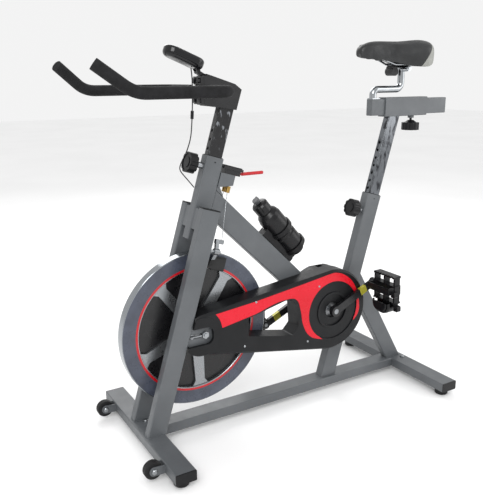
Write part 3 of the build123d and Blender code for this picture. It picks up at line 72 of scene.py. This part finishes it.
# ---------------------------------------------------------------- material helpers
def tone(code):
    """sRGB hex to a linear colour."""
    values = []
    for i in (0, 2, 4):
        c = int(code.lstrip("#")[i:i + 2], 16) / 255
        values.append(c / 12.92 if c <= 0.04045 else ((c + 0.055) / 1.055) ** 2.4)
    return (*values, 1.0)


def put(tree, kind, settings=None, **inputs):
    """Adds a node. A number or colour sets the input it names and a socket is linked to it."""
    node = tree.nodes.new(kind)
    for key, value in (settings or {}).items():
        setattr(node, key, value)
    for key, value in inputs.items():
        name = key.replace("_", " ")
        socket = node.inputs[int(name[1:])] if name[0] == "n" and name[1:].isdigit() else node.inputs[name]
        if isinstance(value, bpy.types.NodeSocket):
            tree.links.new(value, socket)
        else:
            socket.default_value = value
    return node


def start(name, roughness=0.5, metallic=0.0, **inputs):
    """An empty material with its shader, and the piece's own coordinates."""
    material = bpy.data.materials.new(name)
    material.use_nodes = True
    tree = material.node_tree
    tree.nodes.clear()
    shader = put(tree, "ShaderNodeBsdfPrincipled", Roughness=roughness, Metallic=metallic, **inputs)
    output = put(tree, "ShaderNodeOutputMaterial")
    tree.links.new(shader.outputs[0], output.inputs["Surface"])
    place = put(tree, "ShaderNodeTexCoord").outputs["Object"]
    return material, tree, shader, place


def math(tree, operation, a, b=0.0):
    return put(tree, "ShaderNodeMath", {"operation": operation}, n0=a, n1=b).outputs[0]


def mottle(tree, place, size_mm, low, high, detail=3.0):
    """Noise of about the given size, spread over a range of values."""
    noise = put(tree, "ShaderNodeTexNoise", Vector=place, Scale=1 / (size_mm * MM),
                Detail=detail).outputs["Fac"]
    return put(tree, "ShaderNodeMapRange", Value=noise, n1=0.3, n2=0.7, n3=low, n4=high).outputs[0]


def blend_colour(tree, share, first, second):
    mix = put(tree, "ShaderNodeMix", {"data_type": "RGBA"}, n0=share, n6=first, n7=second)
    return mix.outputs[2]


def relief(tree, place, shader, size_mm, depth_mm, strength=1.0, detail=2.0):
    height = put(tree, "ShaderNodeTexNoise", Vector=place, Scale=1 / (size_mm * MM),
                 Detail=detail).outputs["Fac"]
    bump = put(tree, "ShaderNodeBump", Height=height, Distance=depth_mm * MM, Strength=strength)
    tree.links.new(bump.outputs[0], shader.inputs["Normal"])


def link(tree, source, shader, name):
    tree.links.new(source, shader.inputs[name])


def coated(name, dark, light, roughness, grit_mm=1.2, depth_mm=0.08, patch_mm=90, spread=0.06, **inputs):
    """A colour that drifts slowly over the piece, with a fine surface grain."""
    material, tree, shader, place = start(name, roughness, **inputs)
    drift = mottle(tree, place, patch_mm, 0.0, 1.0)
    link(tree, blend_colour(tree, drift, tone(dark), tone(light)), shader, "Base Color")
    link(tree, mottle(tree, place, patch_mm * 0.3, roughness - spread, roughness + spread), shader,
         "Roughness")
    relief(tree, place, shader, grit_mm, depth_mm)
    return material


def plated(name, dark, light, roughness, brush_mm=None, spread=0.04):
    """Bare or plated metal: faint streaks in the finish and an uneven polish."""
    material, tree, shader, place = start(name, roughness, metallic=1.0)
    drift = mottle(tree, place, 40, 0.0, 1.0)
    link(tree, blend_colour(tree, drift, tone(dark), tone(light)), shader, "Base Color")
    link(tree, mottle(tree, place, 12, roughness - spread, roughness + spread), shader, "Roughness")
    if brush_mm:
        stretched = put(tree, "ShaderNodeMapping", Vector=place, Scale=(1, 14, 1)).outputs[0]
        relief(tree, stretched, shader, brush_mm, 0.03)
    return material


# ---------------------------------------------------------------- materials
def powder_coat():
    """Polyester powder coat baked on steel tube: satin grey with a fine orange peel."""
    return coated("grey_powder_coat", "#4f5255", "#595c5f", 0.40, grit_mm=1.6, depth_mm=0.10)


def black_enamel():
    """Sprayed enamel on steel, nearly black, with a soft gloss."""
    return coated("black_enamel", "#141415", "#1b1b1d", 0.28, grit_mm=2.5, depth_mm=0.05)


def scuffed_enamel():
    """Black enamel on a sliding post, rubbed through to bright steel in short vertical streaks."""
    material, tree, shader, place = start("scuffed_black_enamel", 0.25)
    stretched = put(tree, "ShaderNodeMapping", Vector=place, Scale=(1.0, 1.0, 0.35)).outputs[0]
    streak_noise = put(tree, "ShaderNodeTexNoise", Vector=stretched, Scale=1 / (9 * MM), Detail=4.0).outputs["Fac"]
    worn = put(tree, "ShaderNodeMapRange", Value=streak_noise, n1=0.60, n2=0.68, n3=0.0, n4=0.75).outputs[0]
    link(tree, blend_colour(tree, worn, tone("#151517"), tone("#a9adb3")), shader, "Base Color")
    link(tree, worn, shader, "Metallic")
    link(tree, mottle(tree, place, 14, 0.16, 0.30), shader, "Roughness")
    relief(tree, place, shader, 3, 0.05)
    return material


def chrome_plate():
    """Polished nickel and chrome plate: bright, with the least haze."""
    return plated("chrome_plate", "#8f9396", "#b4b7ba", 0.10, spread=0.03)


def chrome_with_painted_reflection():
    """Chrome on the sliding seat post, with painted reflection: darker streaks stand in for the dark
    surroundings that the chrome mirrors.
    """
    material, tree, shader, place = start("chrome_plate_painted_reflection", 0.15, metallic=1.0)
    stretched = put(tree, "ShaderNodeMapping", Vector=place, Scale=(1.0, 1.0, 0.4)).outputs[0]
    streak_noise = put(tree, "ShaderNodeTexNoise", Vector=stretched, Scale=1 / (14 * MM), Detail=4.0).outputs["Fac"]
    # Painted reflection: these darker streaks stand in for dark surroundings mirrored in the chrome, not for
    # wear.
    painted_dark_reflection = put(tree, "ShaderNodeMapRange", Value=streak_noise, n1=0.50, n2=0.62, n3=0.0, n4=1.0).outputs[0]
    link(tree, blend_colour(tree, painted_dark_reflection, tone("#727579"), tone("#3a3b3e")), shader, "Base Color")
    link(tree, mottle(tree, place, 14, 0.10, 0.24), shader, "Roughness")
    relief(tree, place, shader, 4, 0.03)
    return material


def arm_and_pad(pad_top):
    """Bright caliper arm above, black rubber brake pad below."""
    material, tree, shader, place = start("bright_arm_and_rubber_pad", 0.3)
    height = put(tree, "ShaderNodeSeparateXYZ", Vector=place).outputs["Z"]
    pad = math(tree, "LESS_THAN", height, pad_top)
    link(tree, blend_colour(tree, pad, tone("#8a8d90"), tone("#111112")), shader, "Base Color")
    link(tree, math(tree, "SUBTRACT", 1.0, pad), shader, "Metallic")
    link(tree, math(tree, "ADD", math(tree, "MULTIPLY", pad, 0.35), mottle(tree, place, 8, 0.22, 0.32)),
         shader, "Roughness")
    relief(tree, place, shader, 1.5, 0.05)
    return material


def zinc_steel():
    """Zinc plated steel: dull bright grey."""
    return plated("zinc_plated_steel", "#8d9093", "#a7aaad", 0.32, brush_mm=2.0)


def brass_and_enamel(split_z):
    """Enamelled lever housing above, turned brass cable adjusters below."""
    material, tree, shader, place = start("enamel_and_turned_brass", 0.3)
    height = put(tree, "ShaderNodeSeparateXYZ", Vector=place).outputs["Z"]
    brass = math(tree, "LESS_THAN", height, split_z)
    link(tree, blend_colour(tree, brass, tone("#17171a"), tone("#a7884e")), shader, "Base Color")
    link(tree, brass, shader, "Metallic")
    link(tree, mottle(tree, place, 5, 0.24, 0.36), shader, "Roughness")
    relief(tree, place, shader, 1.5, 0.05)
    return material


def distance_from(tree, place, centre):
    """Distance in the X and Z plane from an axle, and the height over the wheel's middle plane."""
    away = put(tree, "ShaderNodeVectorMath", {"operation": "SUBTRACT"}, n0=place,
               n1=tuple(centre)).outputs[0]
    parts = put(tree, "ShaderNodeSeparateXYZ", Vector=away)
    flat = put(tree, "ShaderNodeCombineXYZ", X=parts.outputs["X"], Z=parts.outputs["Z"]).outputs[0]
    reach = put(tree, "ShaderNodeVectorMath", {"operation": "LENGTH"}, n0=flat).outputs["Value"]
    return reach, math(tree, "ABSOLUTE", parts.outputs["Y"])


def flywheel_finish(centre, radius):
    """Cast iron wheel: lacquered blue-grey rim, red ring, bright lip and spokes, black dish."""
    material, tree, shader, place = start("lacquered_and_polished_iron", 0.3, metallic=0.4)
    reach, depth = distance_from(tree, place, centre)
    drift = mottle(tree, place, 30, 0.0, 1.0)
    colour = blend_colour(tree, drift, tone("#3a3e49"), tone("#474c59"))
    beyond = math(tree, "GREATER_THAN", reach, radius - 2.2 * MM)
    colour = blend_colour(tree, beyond, colour, tone("#8d9195"))
    inside = math(tree, "LESS_THAN", reach, radius - 40.5 * MM)
    colour = blend_colour(tree, inside, colour, tone("#b3131d"))
    lip = math(tree, "LESS_THAN", reach, radius - 47 * MM)
    colour = blend_colour(tree, lip, colour, tone("#96999c"))
    low = math(tree, "LESS_THAN", depth, 4 * MM)
    dish = math(tree, "MULTIPLY", lip, low)
    colour = blend_colour(tree, dish, colour, tone("#121214"))
    link(tree, colour, shader, "Base Color")
    bright = math(tree, "MAXIMUM", beyond, math(tree, "MULTIPLY", lip, math(tree, "SUBTRACT", 1.0, low)))
    link(tree, math(tree, "MULTIPLY", bright, 0.9), shader, "Metallic")
    polish = mottle(tree, place, 25, 0.24, 0.34)
    link(tree, math(tree, "MULTIPLY", polish, math(tree, "SUBTRACT", 1.0,
                                                   math(tree, "MULTIPLY", beyond, 0.5))),
         shader, "Roughness")
    relief(tree, place, shader, 2.0, 0.04)
    return material


def crank_finish(centre):
    """Black coated forged steel with a yellow-green band of tape near the pedal."""
    material, tree, shader, place = start("black_forged_steel", 0.3, metallic=0.2)
    reach, _ = distance_from(tree, place, centre)
    band = math(tree, "MULTIPLY", math(tree, "GREATER_THAN", reach, 108 * MM),
                math(tree, "LESS_THAN", reach, 134 * MM))
    link(tree, blend_colour(tree, band, tone("#18181a"), tone("#a9a336")), shader, "Base Color")
    link(tree, mottle(tree, place, 12, 0.24, 0.38), shader, "Roughness")
    relief(tree, place, shader, 2.0, 0.05)
    return material


def cast_alloy():
    """Die cast aluminium, shot blasted."""
    return plated("cast_aluminium", "#8b8d90", "#a2a4a6", 0.45, brush_mm=1.2)


def textured_abs():
    """Black ABS moulding with an eroded texture, rather matt."""
    return coated("textured_black_abs", "#0e0f11", "#151618", 0.42, grit_mm=0.9, depth_mm=0.12, patch_mm=60,
                  Specular_IOR_Level=0.25)


def smooth_abs():
    """Gloss black ABS case."""
    return coated("gloss_black_abs", "#0e0e10", "#131316", 0.14, grit_mm=8, depth_mm=0.03, spread=0.03,
                  Specular_IOR_Level=0.35)


def nylon():
    """Glass filled nylon mouldings: knobs, caps, cage and pedals."""
    return coated("black_nylon", "#0d0d0f", "#151517", 0.36, grit_mm=1.0, depth_mm=0.10, patch_mm=30,
                  Specular_IOR_Level=0.25)


def grey_nylon():
    return coated("grey_nylon", "#3c3d40", "#47484b", 0.45, grit_mm=1.0, depth_mm=0.08, patch_mm=30)


def polyethylene():
    """Blow moulded black polyethylene: waxy and soft."""
    return coated("black_polyethylene", "#0c0c0e", "#131315", 0.30, grit_mm=3, depth_mm=0.10, patch_mm=45,
                  Specular_IOR_Level=0.3)


def vinyl_dip():
    """Red vinyl dipped on the lever: glossy and slightly wavy."""
    return coated("red_vinyl", "#a80f18", "#b8161f", 0.3, grit_mm=4, depth_mm=0.15, patch_mm=20)


def moulded_rubber():
    return coated("moulded_black_rubber", "#101011", "#1a1a1b", 0.62, grit_mm=0.8, depth_mm=0.10,
                  patch_mm=20, Specular_IOR_Level=0.3)


def foam():
    """Closed cell foam sleeve: matt, with small pores that are drawn twice as coarse as real ones."""
    material, tree, shader, place = start("closed_cell_foam", 0.8, Specular_IOR_Level=0.25)
    link(tree, blend_colour(tree, mottle(tree, place, 25, 0, 1), tone("#121213"), tone("#1b1b1d")), shader,
         "Base Color")
    cells = put(tree, "ShaderNodeTexVoronoi", Vector=place, Scale=1 / (1.6 * MM)).outputs["Distance"]
    bump = put(tree, "ShaderNodeBump", Height=cells, Distance=0.25 * MM, Strength=0.7)
    link(tree, bump.outputs[0], shader, "Normal")
    link(tree, mottle(tree, place, 10, 0.72, 0.86), shader, "Roughness")
    return material


def stranded_cable():
    """Bright steel cable, its strands drawn as fine bands."""
    material, tree, shader, place = start("stranded_steel_cable", 0.35, metallic=1.0)
    twist = put(tree, "ShaderNodeTexWave", Vector=place, Scale=1 / (7 * MM), Distortion=0.4).outputs["Fac"]
    link(tree, blend_colour(tree, twist, tone("#6e7073"), tone("#b6b9bc")), shader, "Base Color")
    link(tree, mottle(tree, place, 5, 0.3, 0.42), shader, "Roughness")
    return material


def lead_jacket():
    """Thin black PVC jacket."""
    return coated("black_pvc_jacket", "#101012", "#18181a", 0.4, grit_mm=1.5, depth_mm=0.03, patch_mm=30)


def red_film():
    """Printed red film on the cover, glossy, with a slow change of tone along it."""
    return coated("red_printed_film", "#c40d1e", "#d2142a", 0.26, grit_mm=5, depth_mm=0.03, patch_mm=120,
                  Specular_IOR_Level=0.3)


def rails_and_buffer(rear_x, top_z):
    """Chromed rails and clamp, with a rubber buffer ahead of them and under the rails."""
    material, tree, shader, place = start("chrome_rails_and_rubber", 0.12, metallic=1.0)
    parts = put(tree, "ShaderNodeSeparateXYZ", Vector=place)
    ahead = math(tree, "LESS_THAN", parts.outputs["X"], rear_x)
    under = math(tree, "LESS_THAN", parts.outputs["Z"], top_z)
    rubber = math(tree, "MULTIPLY", ahead, under)
    link(tree, blend_colour(tree, rubber, tone("#a3a6a9"), tone("#141416")), shader, "Base Color")
    link(tree, math(tree, "SUBTRACT", 1.0, rubber), shader, "Metallic")
    link(tree, math(tree, "ADD", math(tree, "MULTIPLY", rubber, 0.45), mottle(tree, place, 15, 0.10, 0.16)),
         shader, "Roughness")
    relief(tree, place, shader, 3.0, 0.03)
    return material


def saddle_leather(low, high):
    """Polyurethane leather: black top, light grey patches at the rear corners, a groove between them."""
    material, tree, shader, place = start("polyurethane_leather", 0.42, Specular_IOR_Level=0.4)
    parts = put(tree, "ShaderNodeSeparateXYZ", Vector=place)
    side = math(tree, "ABSOLUTE", parts.outputs["Y"])
    # The patch starts behind a line that leans forwards towards the skirt.
    line = math(tree, "ADD", parts.outputs["X"],
                math(tree, "MULTIPLY", math(tree, "SUBTRACT", high.z, parts.outputs["Z"]), 0.62))
    edge = math(tree, "SUBTRACT", line, high.x - 26 * MM)
    patch = math(tree, "MULTIPLY", math(tree, "GREATER_THAN", edge, 0.0),
                 math(tree, "GREATER_THAN", side, 34 * MM))
    drift = mottle(tree, place, 40, 0, 1)
    black = blend_colour(tree, drift, tone("#1d1e1f"), tone("#2a2b2c"))
    pale = blend_colour(tree, drift, tone("#858681"), tone("#969792"))
    link(tree, blend_colour(tree, patch, black, pale), shader, "Base Color")
    link(tree, mottle(tree, place, 8, 0.38, 0.52), shader, "Roughness")
    grain = put(tree, "ShaderNodeTexVoronoi", Vector=place, Scale=1 / (2.2 * MM)).outputs["Distance"]
    near = math(tree, "ABSOLUTE", edge)
    seam = put(tree, "ShaderNodeMapRange", Value=near, n1=0.0, n2=1.8 * MM, n3=-4.0, n4=0.0).outputs[0]
    seam = math(tree, "MULTIPLY", seam, math(tree, "GREATER_THAN", side, 36 * MM))
    height = math(tree, "ADD", math(tree, "MULTIPLY", grain, 0.35), seam)
    bump = put(tree, "ShaderNodeBump", Height=height, Distance=0.35 * MM, Strength=0.8)
    link(tree, bump.outputs[0], shader, "Normal")
    return material


def display_glass():
    """Grey liquid crystal display under a clear window."""
    return coated("display_window", "#5d6660", "#6a746c", 0.12, grit_mm=10, depth_mm=0.02, patch_mm=30,
                  Coat_Weight=0.6)


# ---------------------------------------------------------------- pieces
def flat_shape(name, loops, y, depth):
    """A flat piece in the X and Z plane, cut along smooth or cornered loops, on a face that looks to -Y.
    A loop is a list of (x, z, smooth)."""
    curve = bpy.data.curves.new(name, "CURVE")
    curve.dimensions = "2D"
    curve.fill_mode = "BOTH"
    curve.extrude = depth / 2
    curve.resolution_u = 8
    for loop in loops:
        spline = curve.splines.new("BEZIER")
        spline.bezier_points.add(len(loop) - 1)
        spline.use_cyclic_u = True
        for point, (x, z, smooth) in zip(spline.bezier_points, loop):
            point.co = (x, z, 0)
            point.handle_left_type = point.handle_right_type = "AUTO" if smooth else "VECTOR"
    piece = bpy.data.objects.new(name, curve)
    bpy.context.collection.objects.link(piece)
    pick(piece)
    bpy.ops.object.convert(target="MESH")
    piece = bpy.context.object
    piece.data.transform(Matrix.Rotation(radians(90), 4, "X"))
    piece.data.transform(Matrix.Translation((0, y - depth / 2, 0)))
    pick(piece)
    bpy.ops.object.mode_set(mode="EDIT")
    bpy.ops.mesh.select_all(action="SELECT")
    bpy.ops.mesh.remove_doubles(threshold=0.00001)
    bpy.ops.mesh.normals_make_consistent(inside=False)
    bpy.ops.object.mode_set(mode="OBJECT")
    return piece


def finish_piece(piece, body, material):
    piece.data.materials.clear()
    piece.data.materials.append(material)
    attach(piece, body)
    return piece


FILM = 0.5 * MM               # thickness of the red film
DISH = 95.5 * MM              # radius of the round window that the film leaves round the crank


def red_swoosh(crank, face_y):
    """Red film from the wheel end of the cover to a ring round the crank."""
    outer = [(-423, 70, 0), (-293, 83, 0), (-113, 108, 1), (-52, 117, 1), (-18, 122, 1), (7, 123, 1),
             (53, 103, 1),
             (86, 66, 1), (106, 5, 1), (103, -29, 1), (84, -51, 0)]
    loop = [(crank.x + x * MM, crank.z + z * MM, s) for x, z, s in outer]
    for angle in range(-28, 244, 8):
        a = radians(angle)
        loop.append((crank.x + DISH * cos(a), crank.z + DISH * sin(a), 1))
    inner = [(-40, -91, 0), (-89, -70, 1), (-117, -26, 1), (-128, 25, 1), (-145, 62, 1), (-180, 69, 1),
             (-293, 44, 0),
             (-402, 25, 0), (-410, 51, 1)]
    loop += [(crank.x + x * MM, crank.z + z * MM, s) for x, z, s in inner]
    return flat_shape("red_swoosh", [loop], face_y, FILM)


CONSOLE_TILT = 22
WINDOW_SIZE = (55 * MM, 29 * MM, 1.2 * MM)
WINDOW_AHEAD = 47 * MM        # from the button to the window's middle
WINDOW_SUNK = 0.9 * MM


def console_window():
    """Display set in the recess of the console's top."""
    button = middle("console_button")
    tilt = radians(CONSOLE_TILT)
    along = Vector((cos(tilt), 0, -sin(tilt)))
    up = Vector((sin(tilt), 0, cos(tilt)))
    centre = button - along * WINDOW_AHEAD - up * WINDOW_SUNK
    bpy.ops.mesh.primitive_cube_add(size=1)
    piece = bpy.context.object
    piece.name = "console_window"
    piece.data.transform(Matrix.Diagonal((*WINDOW_SIZE, 1)))
    modify(piece, "BEVEL", width=0.4 * MM, segments=2)
    piece.data.transform(Matrix.Translation(centre) @ Matrix.Rotation(tilt, 4, "Y"))
    return piece


# The lead's route, as the model has it.
MIDDLE_X = 488.191 * MM
LEAD = [(174, 0, 1051), (177, 0, 1028), (177, 1, 996), (176, 0, 962), (175, 2, 928), (176, 9, 896),
        (179, 22, 868),
        (176, 34, 840), (166, 38, 816), (151, 34, 796), (144, 27, 781), (157, 21,
                                                                         763), (170, 16, 746), (180, 12, 732)]
LEAD_DIAMETER = 3.2 * MM
CONNECTOR_HEIGHT = 930 * MM
CONNECTOR_RADIUS = 4.4 * MM
CONNECTOR_LENGTH = 22 * MM


def route(name, points, radius=0.0):
    curve = bpy.data.curves.new(name, "CURVE")
    curve.dimensions = "3D"
    curve.resolution_u = 10
    spline = curve.splines.new("NURBS")
    spline.points.add(len(points) - 1)
    for point, place in zip(spline.points, points):
        point.co = (*place, 1)
    spline.order_u = 3
    spline.use_endpoint_u = True
    if radius:
        curve.bevel_depth = radius
        curve.bevel_resolution = 4
        curve.use_fill_caps = True
    obj = bpy.data.objects.new(name, curve)
    bpy.context.collection.objects.link(obj)
    return obj


def console_lead():
    """The console's lead, and the points that its middle line follows."""
    points = [(x * MM - MIDDLE_X, y * MM, z * MM) for x, y, z in LEAD]
    line = route("lead_line", points)
    bpy.context.view_layer.update()
    mesh = bpy.data.meshes.new_from_object(line.evaluated_get(bpy.context.evaluated_depsgraph_get()))
    path = [tuple(v.co) for v in mesh.vertices]
    bpy.data.meshes.remove(mesh)
    bpy.data.objects.remove(line)
    tube = route("console_lead_cord", points, LEAD_DIAMETER / 2)
    pick(tube)
    bpy.ops.object.convert(target="MESH")
    tube = bpy.context.object
    bpy.ops.object.shade_smooth()
    return tube, path


def connector(path):
    """Moulded plug and socket part-way down the lead."""
    spot = min(range(len(path)), key=lambda i: abs(path[i][2] - CONNECTOR_HEIGHT))
    here, after = Vector(path[spot]), Vector(path[spot + 1])
    down = (after - here).normalized()
    bpy.ops.mesh.primitive_cylinder_add(vertices=24, radius=CONNECTOR_RADIUS, depth=CONNECTOR_LENGTH)
    piece = bpy.context.object
    piece.name = "lead_connector"
    modify(piece, "BEVEL", width=1.0 * MM, segments=3)
    piece.data.transform(Matrix.Translation(here) @ down.to_track_quat("Z", "Y").to_matrix().to_4x4())
    pick(piece)
    bpy.ops.object.shade_smooth_by_angle(angle=radians(40))
    return piece


SADDLE_VOXEL = 4 * MM
SADDLE_CAP = 3.0 * MM          # the most that a point may swell
CLOTH_FRAMES = 20


def padded_saddle():
    """Saddle padding: remeshed, blown up a little as cloth, held to a small swell and smoothed."""
    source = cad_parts["saddle"]
    piece = bpy.data.objects.new("saddle_padding", source.data.copy())
    bpy.context.collection.objects.link(piece)
    pick(piece)
    bpy.ops.object.mode_set(mode="EDIT")
    bpy.ops.mesh.select_all(action="SELECT")
    bpy.ops.mesh.remove_doubles(threshold=0.00001)
    bpy.ops.object.mode_set(mode="OBJECT")
    modify(piece, "REMESH", mode="VOXEL", voxel_size=SADDLE_VOXEL)
    modify(piece, "SMOOTH", factor=0.5, iterations=6)
    rest = [v.co.copy() for v in piece.data.vertices]
    swell(piece)
    for vertex, old in zip(piece.data.vertices, rest):
        moved = vertex.co - old
        if moved.length > SADDLE_CAP:
            vertex.co = old + moved.normalized() * SADDLE_CAP
    modify(piece, "SMOOTH", factor=0.5, iterations=4)
    modify(piece, "SUBSURF", levels=1, render_levels=1)
    bpy.ops.object.shade_smooth()
    return piece


def swell(piece):
    group = piece.vertex_groups.new(name="base")
    low = min(v.co.z for v in piece.data.vertices)
    high = max(v.co.z for v in piece.data.vertices)
    for vertex in piece.data.vertices:
        if vertex.co.z < low + 0.25 * (high - low):
            group.add([vertex.index], 1.0, "REPLACE")
    cloth = piece.modifiers.new("Cloth", "CLOTH")
    cloth.settings.use_pressure = True
    cloth.settings.uniform_pressure_force = 4
    cloth.settings.effector_weights.gravity = 0
    cloth.settings.vertex_group_mass = "base"
    scene = bpy.context.scene
    for number in range(1, CLOTH_FRAMES + 1):
        scene.frame_set(number)
    pick(piece)
    bpy.ops.object.modifier_apply(modifier="Cloth")
    scene.frame_set(1)


# ---------------------------------------------------------------- scene
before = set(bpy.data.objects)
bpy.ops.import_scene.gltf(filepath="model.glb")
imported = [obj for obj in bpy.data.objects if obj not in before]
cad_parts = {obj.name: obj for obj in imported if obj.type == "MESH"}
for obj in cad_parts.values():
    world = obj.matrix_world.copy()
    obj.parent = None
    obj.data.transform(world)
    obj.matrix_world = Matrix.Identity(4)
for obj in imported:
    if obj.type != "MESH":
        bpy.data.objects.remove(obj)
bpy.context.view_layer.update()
deselect()

WHEEL = middle("flywheel")
WHEEL_RADIUS = (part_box("flywheel")[1][0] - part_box("flywheel")[0][0]) / 2
CRANK = middle("crank_spindle")
COVER_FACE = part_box("outer_cover")[0][1] + 1.5 * MM
SADDLE_LOW, SADDLE_HIGH = (Vector(v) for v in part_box("saddle"))
BUFFER_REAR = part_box("saddle_clamp")[0][0] + 80 * MM
RAIL_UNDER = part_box("saddle_stalk")[1][2] - 1.5 * MM
PAD_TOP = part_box("left_brake_arm")[0][2] + 48 * MM
BARREL_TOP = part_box("brake_housing")[0][2] + 26 * MM

FINISHES = [
    (powder_coat(), ["front_stabiliser", "rear_stabiliser", "bottom_tube", "left_fork_leg", "right_fork_leg",
                     "head_tube", "diagonal_tube", "seat_tube", "rear_brace", "welded_fittings", "slider_sleeve",
                     "slider_tube"]),
    (black_enamel(), ["bar_bracket", "handlebar", "bar_clamp"]),
    (scuffed_enamel(), ["bar_post"]),
    (chrome_plate(), ["saddle_stalk"]),
    (chrome_with_painted_reflection(), ["seat_post"]),
    (arm_and_pad(PAD_TOP), ["left_brake_arm", "right_brake_arm"]),
    (zinc_steel(), ["frame_fasteners", "flywheel_axle", "bracket_bearings", "hub_bearings", "crank_spindle",
                    "pedal_spindles"]),
    (rails_and_buffer(BUFFER_REAR, RAIL_UNDER), ["saddle_clamp"]),
    (flywheel_finish(WHEEL, WHEEL_RADIUS), ["flywheel"]),
    (crank_finish(CRANK), ["left_crank", "right_crank"]),
    (cast_alloy(), ["flywheel_pulley", "drive_pulley"]),
    (textured_abs(), ["outer_cover", "inner_cover"]),
    (smooth_abs(), ["console"]),
    (nylon(), ["tube_caps", "bottle_cage", "post_bushings", "left_pedal", "right_pedal", "head_knob",
               "seat_knob",
               "slider_knob"]),
    (grey_nylon(), ["console_button", "bottle_spout"]),
    (polyethylene(), ["bottle"]),
    (vinyl_dip(), ["brake_lever"]),
    (brass_and_enamel(BARREL_TOP), ["brake_housing"]),
    (moulded_rubber(), ["drive_belt", "left_wheel", "right_wheel", "front_left_foot", "front_right_foot",
                        "rear_left_foot", "rear_right_foot"]),
    (foam(), ["foam_grips"]),
    (stranded_cable(), ["left_brake_cable", "right_brake_cable"]),
    (lead_jacket(), ["console_lead"]),
    (saddle_leather(SADDLE_LOW, SADDLE_HIGH), ["saddle"]),
]
for material, names in FINISHES:
    for name in names:
        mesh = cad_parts[name].data
        mesh.materials.clear()
        mesh.materials.append(material)

lead, lead_path = console_lead()
lead.data.materials.append(lead_jacket())
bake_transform(lead)
plug = connector(lead_path)
finish_piece(plug, "bar_assembly", nylon())
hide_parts("console_lead")

padding = padded_saddle()
finish_piece(padding, "saddle", saddle_leather(SADDLE_LOW, SADDLE_HIGH))
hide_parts("saddle")

finish_piece(red_swoosh(CRANK, COVER_FACE), "frame", red_film())
finish_piece(console_window(), "console", display_glass())


def floor():
    material, tree, shader, place = start("pale_floor", 0.9)
    link(tree, blend_colour(tree, mottle(tree, place, 900, 0, 1), tone("#f6f6f6"), tone("#fafafa")), shader,
         "Base Color")
    deselect()
    bpy.ops.mesh.primitive_plane_add(size=30, location=(0, 0, -0.0005))
    piece = bpy.context.object
    piece.name = "floor"
    piece.data.materials.append(material)
    settle(piece)


def area_light(name, place, size, power, aim=(0, 0, 0.5)):
    light = bpy.data.lights.new(name, "AREA")
    light.size = size
    light.energy = power
    obj = bpy.data.objects.new(name, light)
    obj.location = place
    obj.rotation_euler = (Vector(aim) - Vector(place)).to_track_quat("-Z", "Y").to_euler()
    bpy.context.collection.objects.link(obj)


def studio():
    floor()
    world = bpy.data.worlds.new("soft_white")
    world.use_nodes = True
    background = world.node_tree.nodes["Background"]
    background.inputs["Color"].default_value = (1, 1, 1, 1)
    background.inputs["Strength"].default_value = 0.9
    bpy.context.scene.world = world
    area_light("key", (-2.2, -2.6, 3.0), 2.0, 90)
    area_light("fill", (2.8, -1.8, 1.6), 2.2, 30)
    area_light("rim", (0.5, 2.6, 2.6), 2.0, 40)


CAMERA_TURN = (-30.565, 15.244, -0.343)
CAMERA_PLACE = (-0.5977 - MIDDLE_X, -1.5625, 1.0281)
SENSOR_WIDTH = 36
FOCAL_LENGTH = 47.39


def camera():
    """At hip height to the left and ahead, on a normal lens; CAMERA_TURN is azimuth, elevation and roll."""
    azimuth, elevation, roll = (radians(a) for a in CAMERA_TURN)
    right = Vector((cos(azimuth), sin(azimuth), 0))
    forward = Vector((-sin(azimuth) * cos(elevation), cos(azimuth) * cos(elevation), -sin(elevation)))
    up = right.cross(forward)
    across = right * cos(roll) + up * sin(roll)
    over = up * cos(roll) - right * sin(roll)
    data = bpy.data.cameras.new("camera")
    data.sensor_fit = "HORIZONTAL"
    data.sensor_width = SENSOR_WIDTH
    data.lens = FOCAL_LENGTH
    obj = bpy.data.objects.new("camera", data)
    turn = Matrix((across, over, -forward)).transposed().to_4x4()
    obj.matrix_world = Matrix.Translation(CAMERA_PLACE) @ turn
    bpy.context.collection.objects.link(obj)
    bpy.context.scene.camera = obj


studio()
camera()
bpy.context.scene.view_settings.view_transform = "Standard"
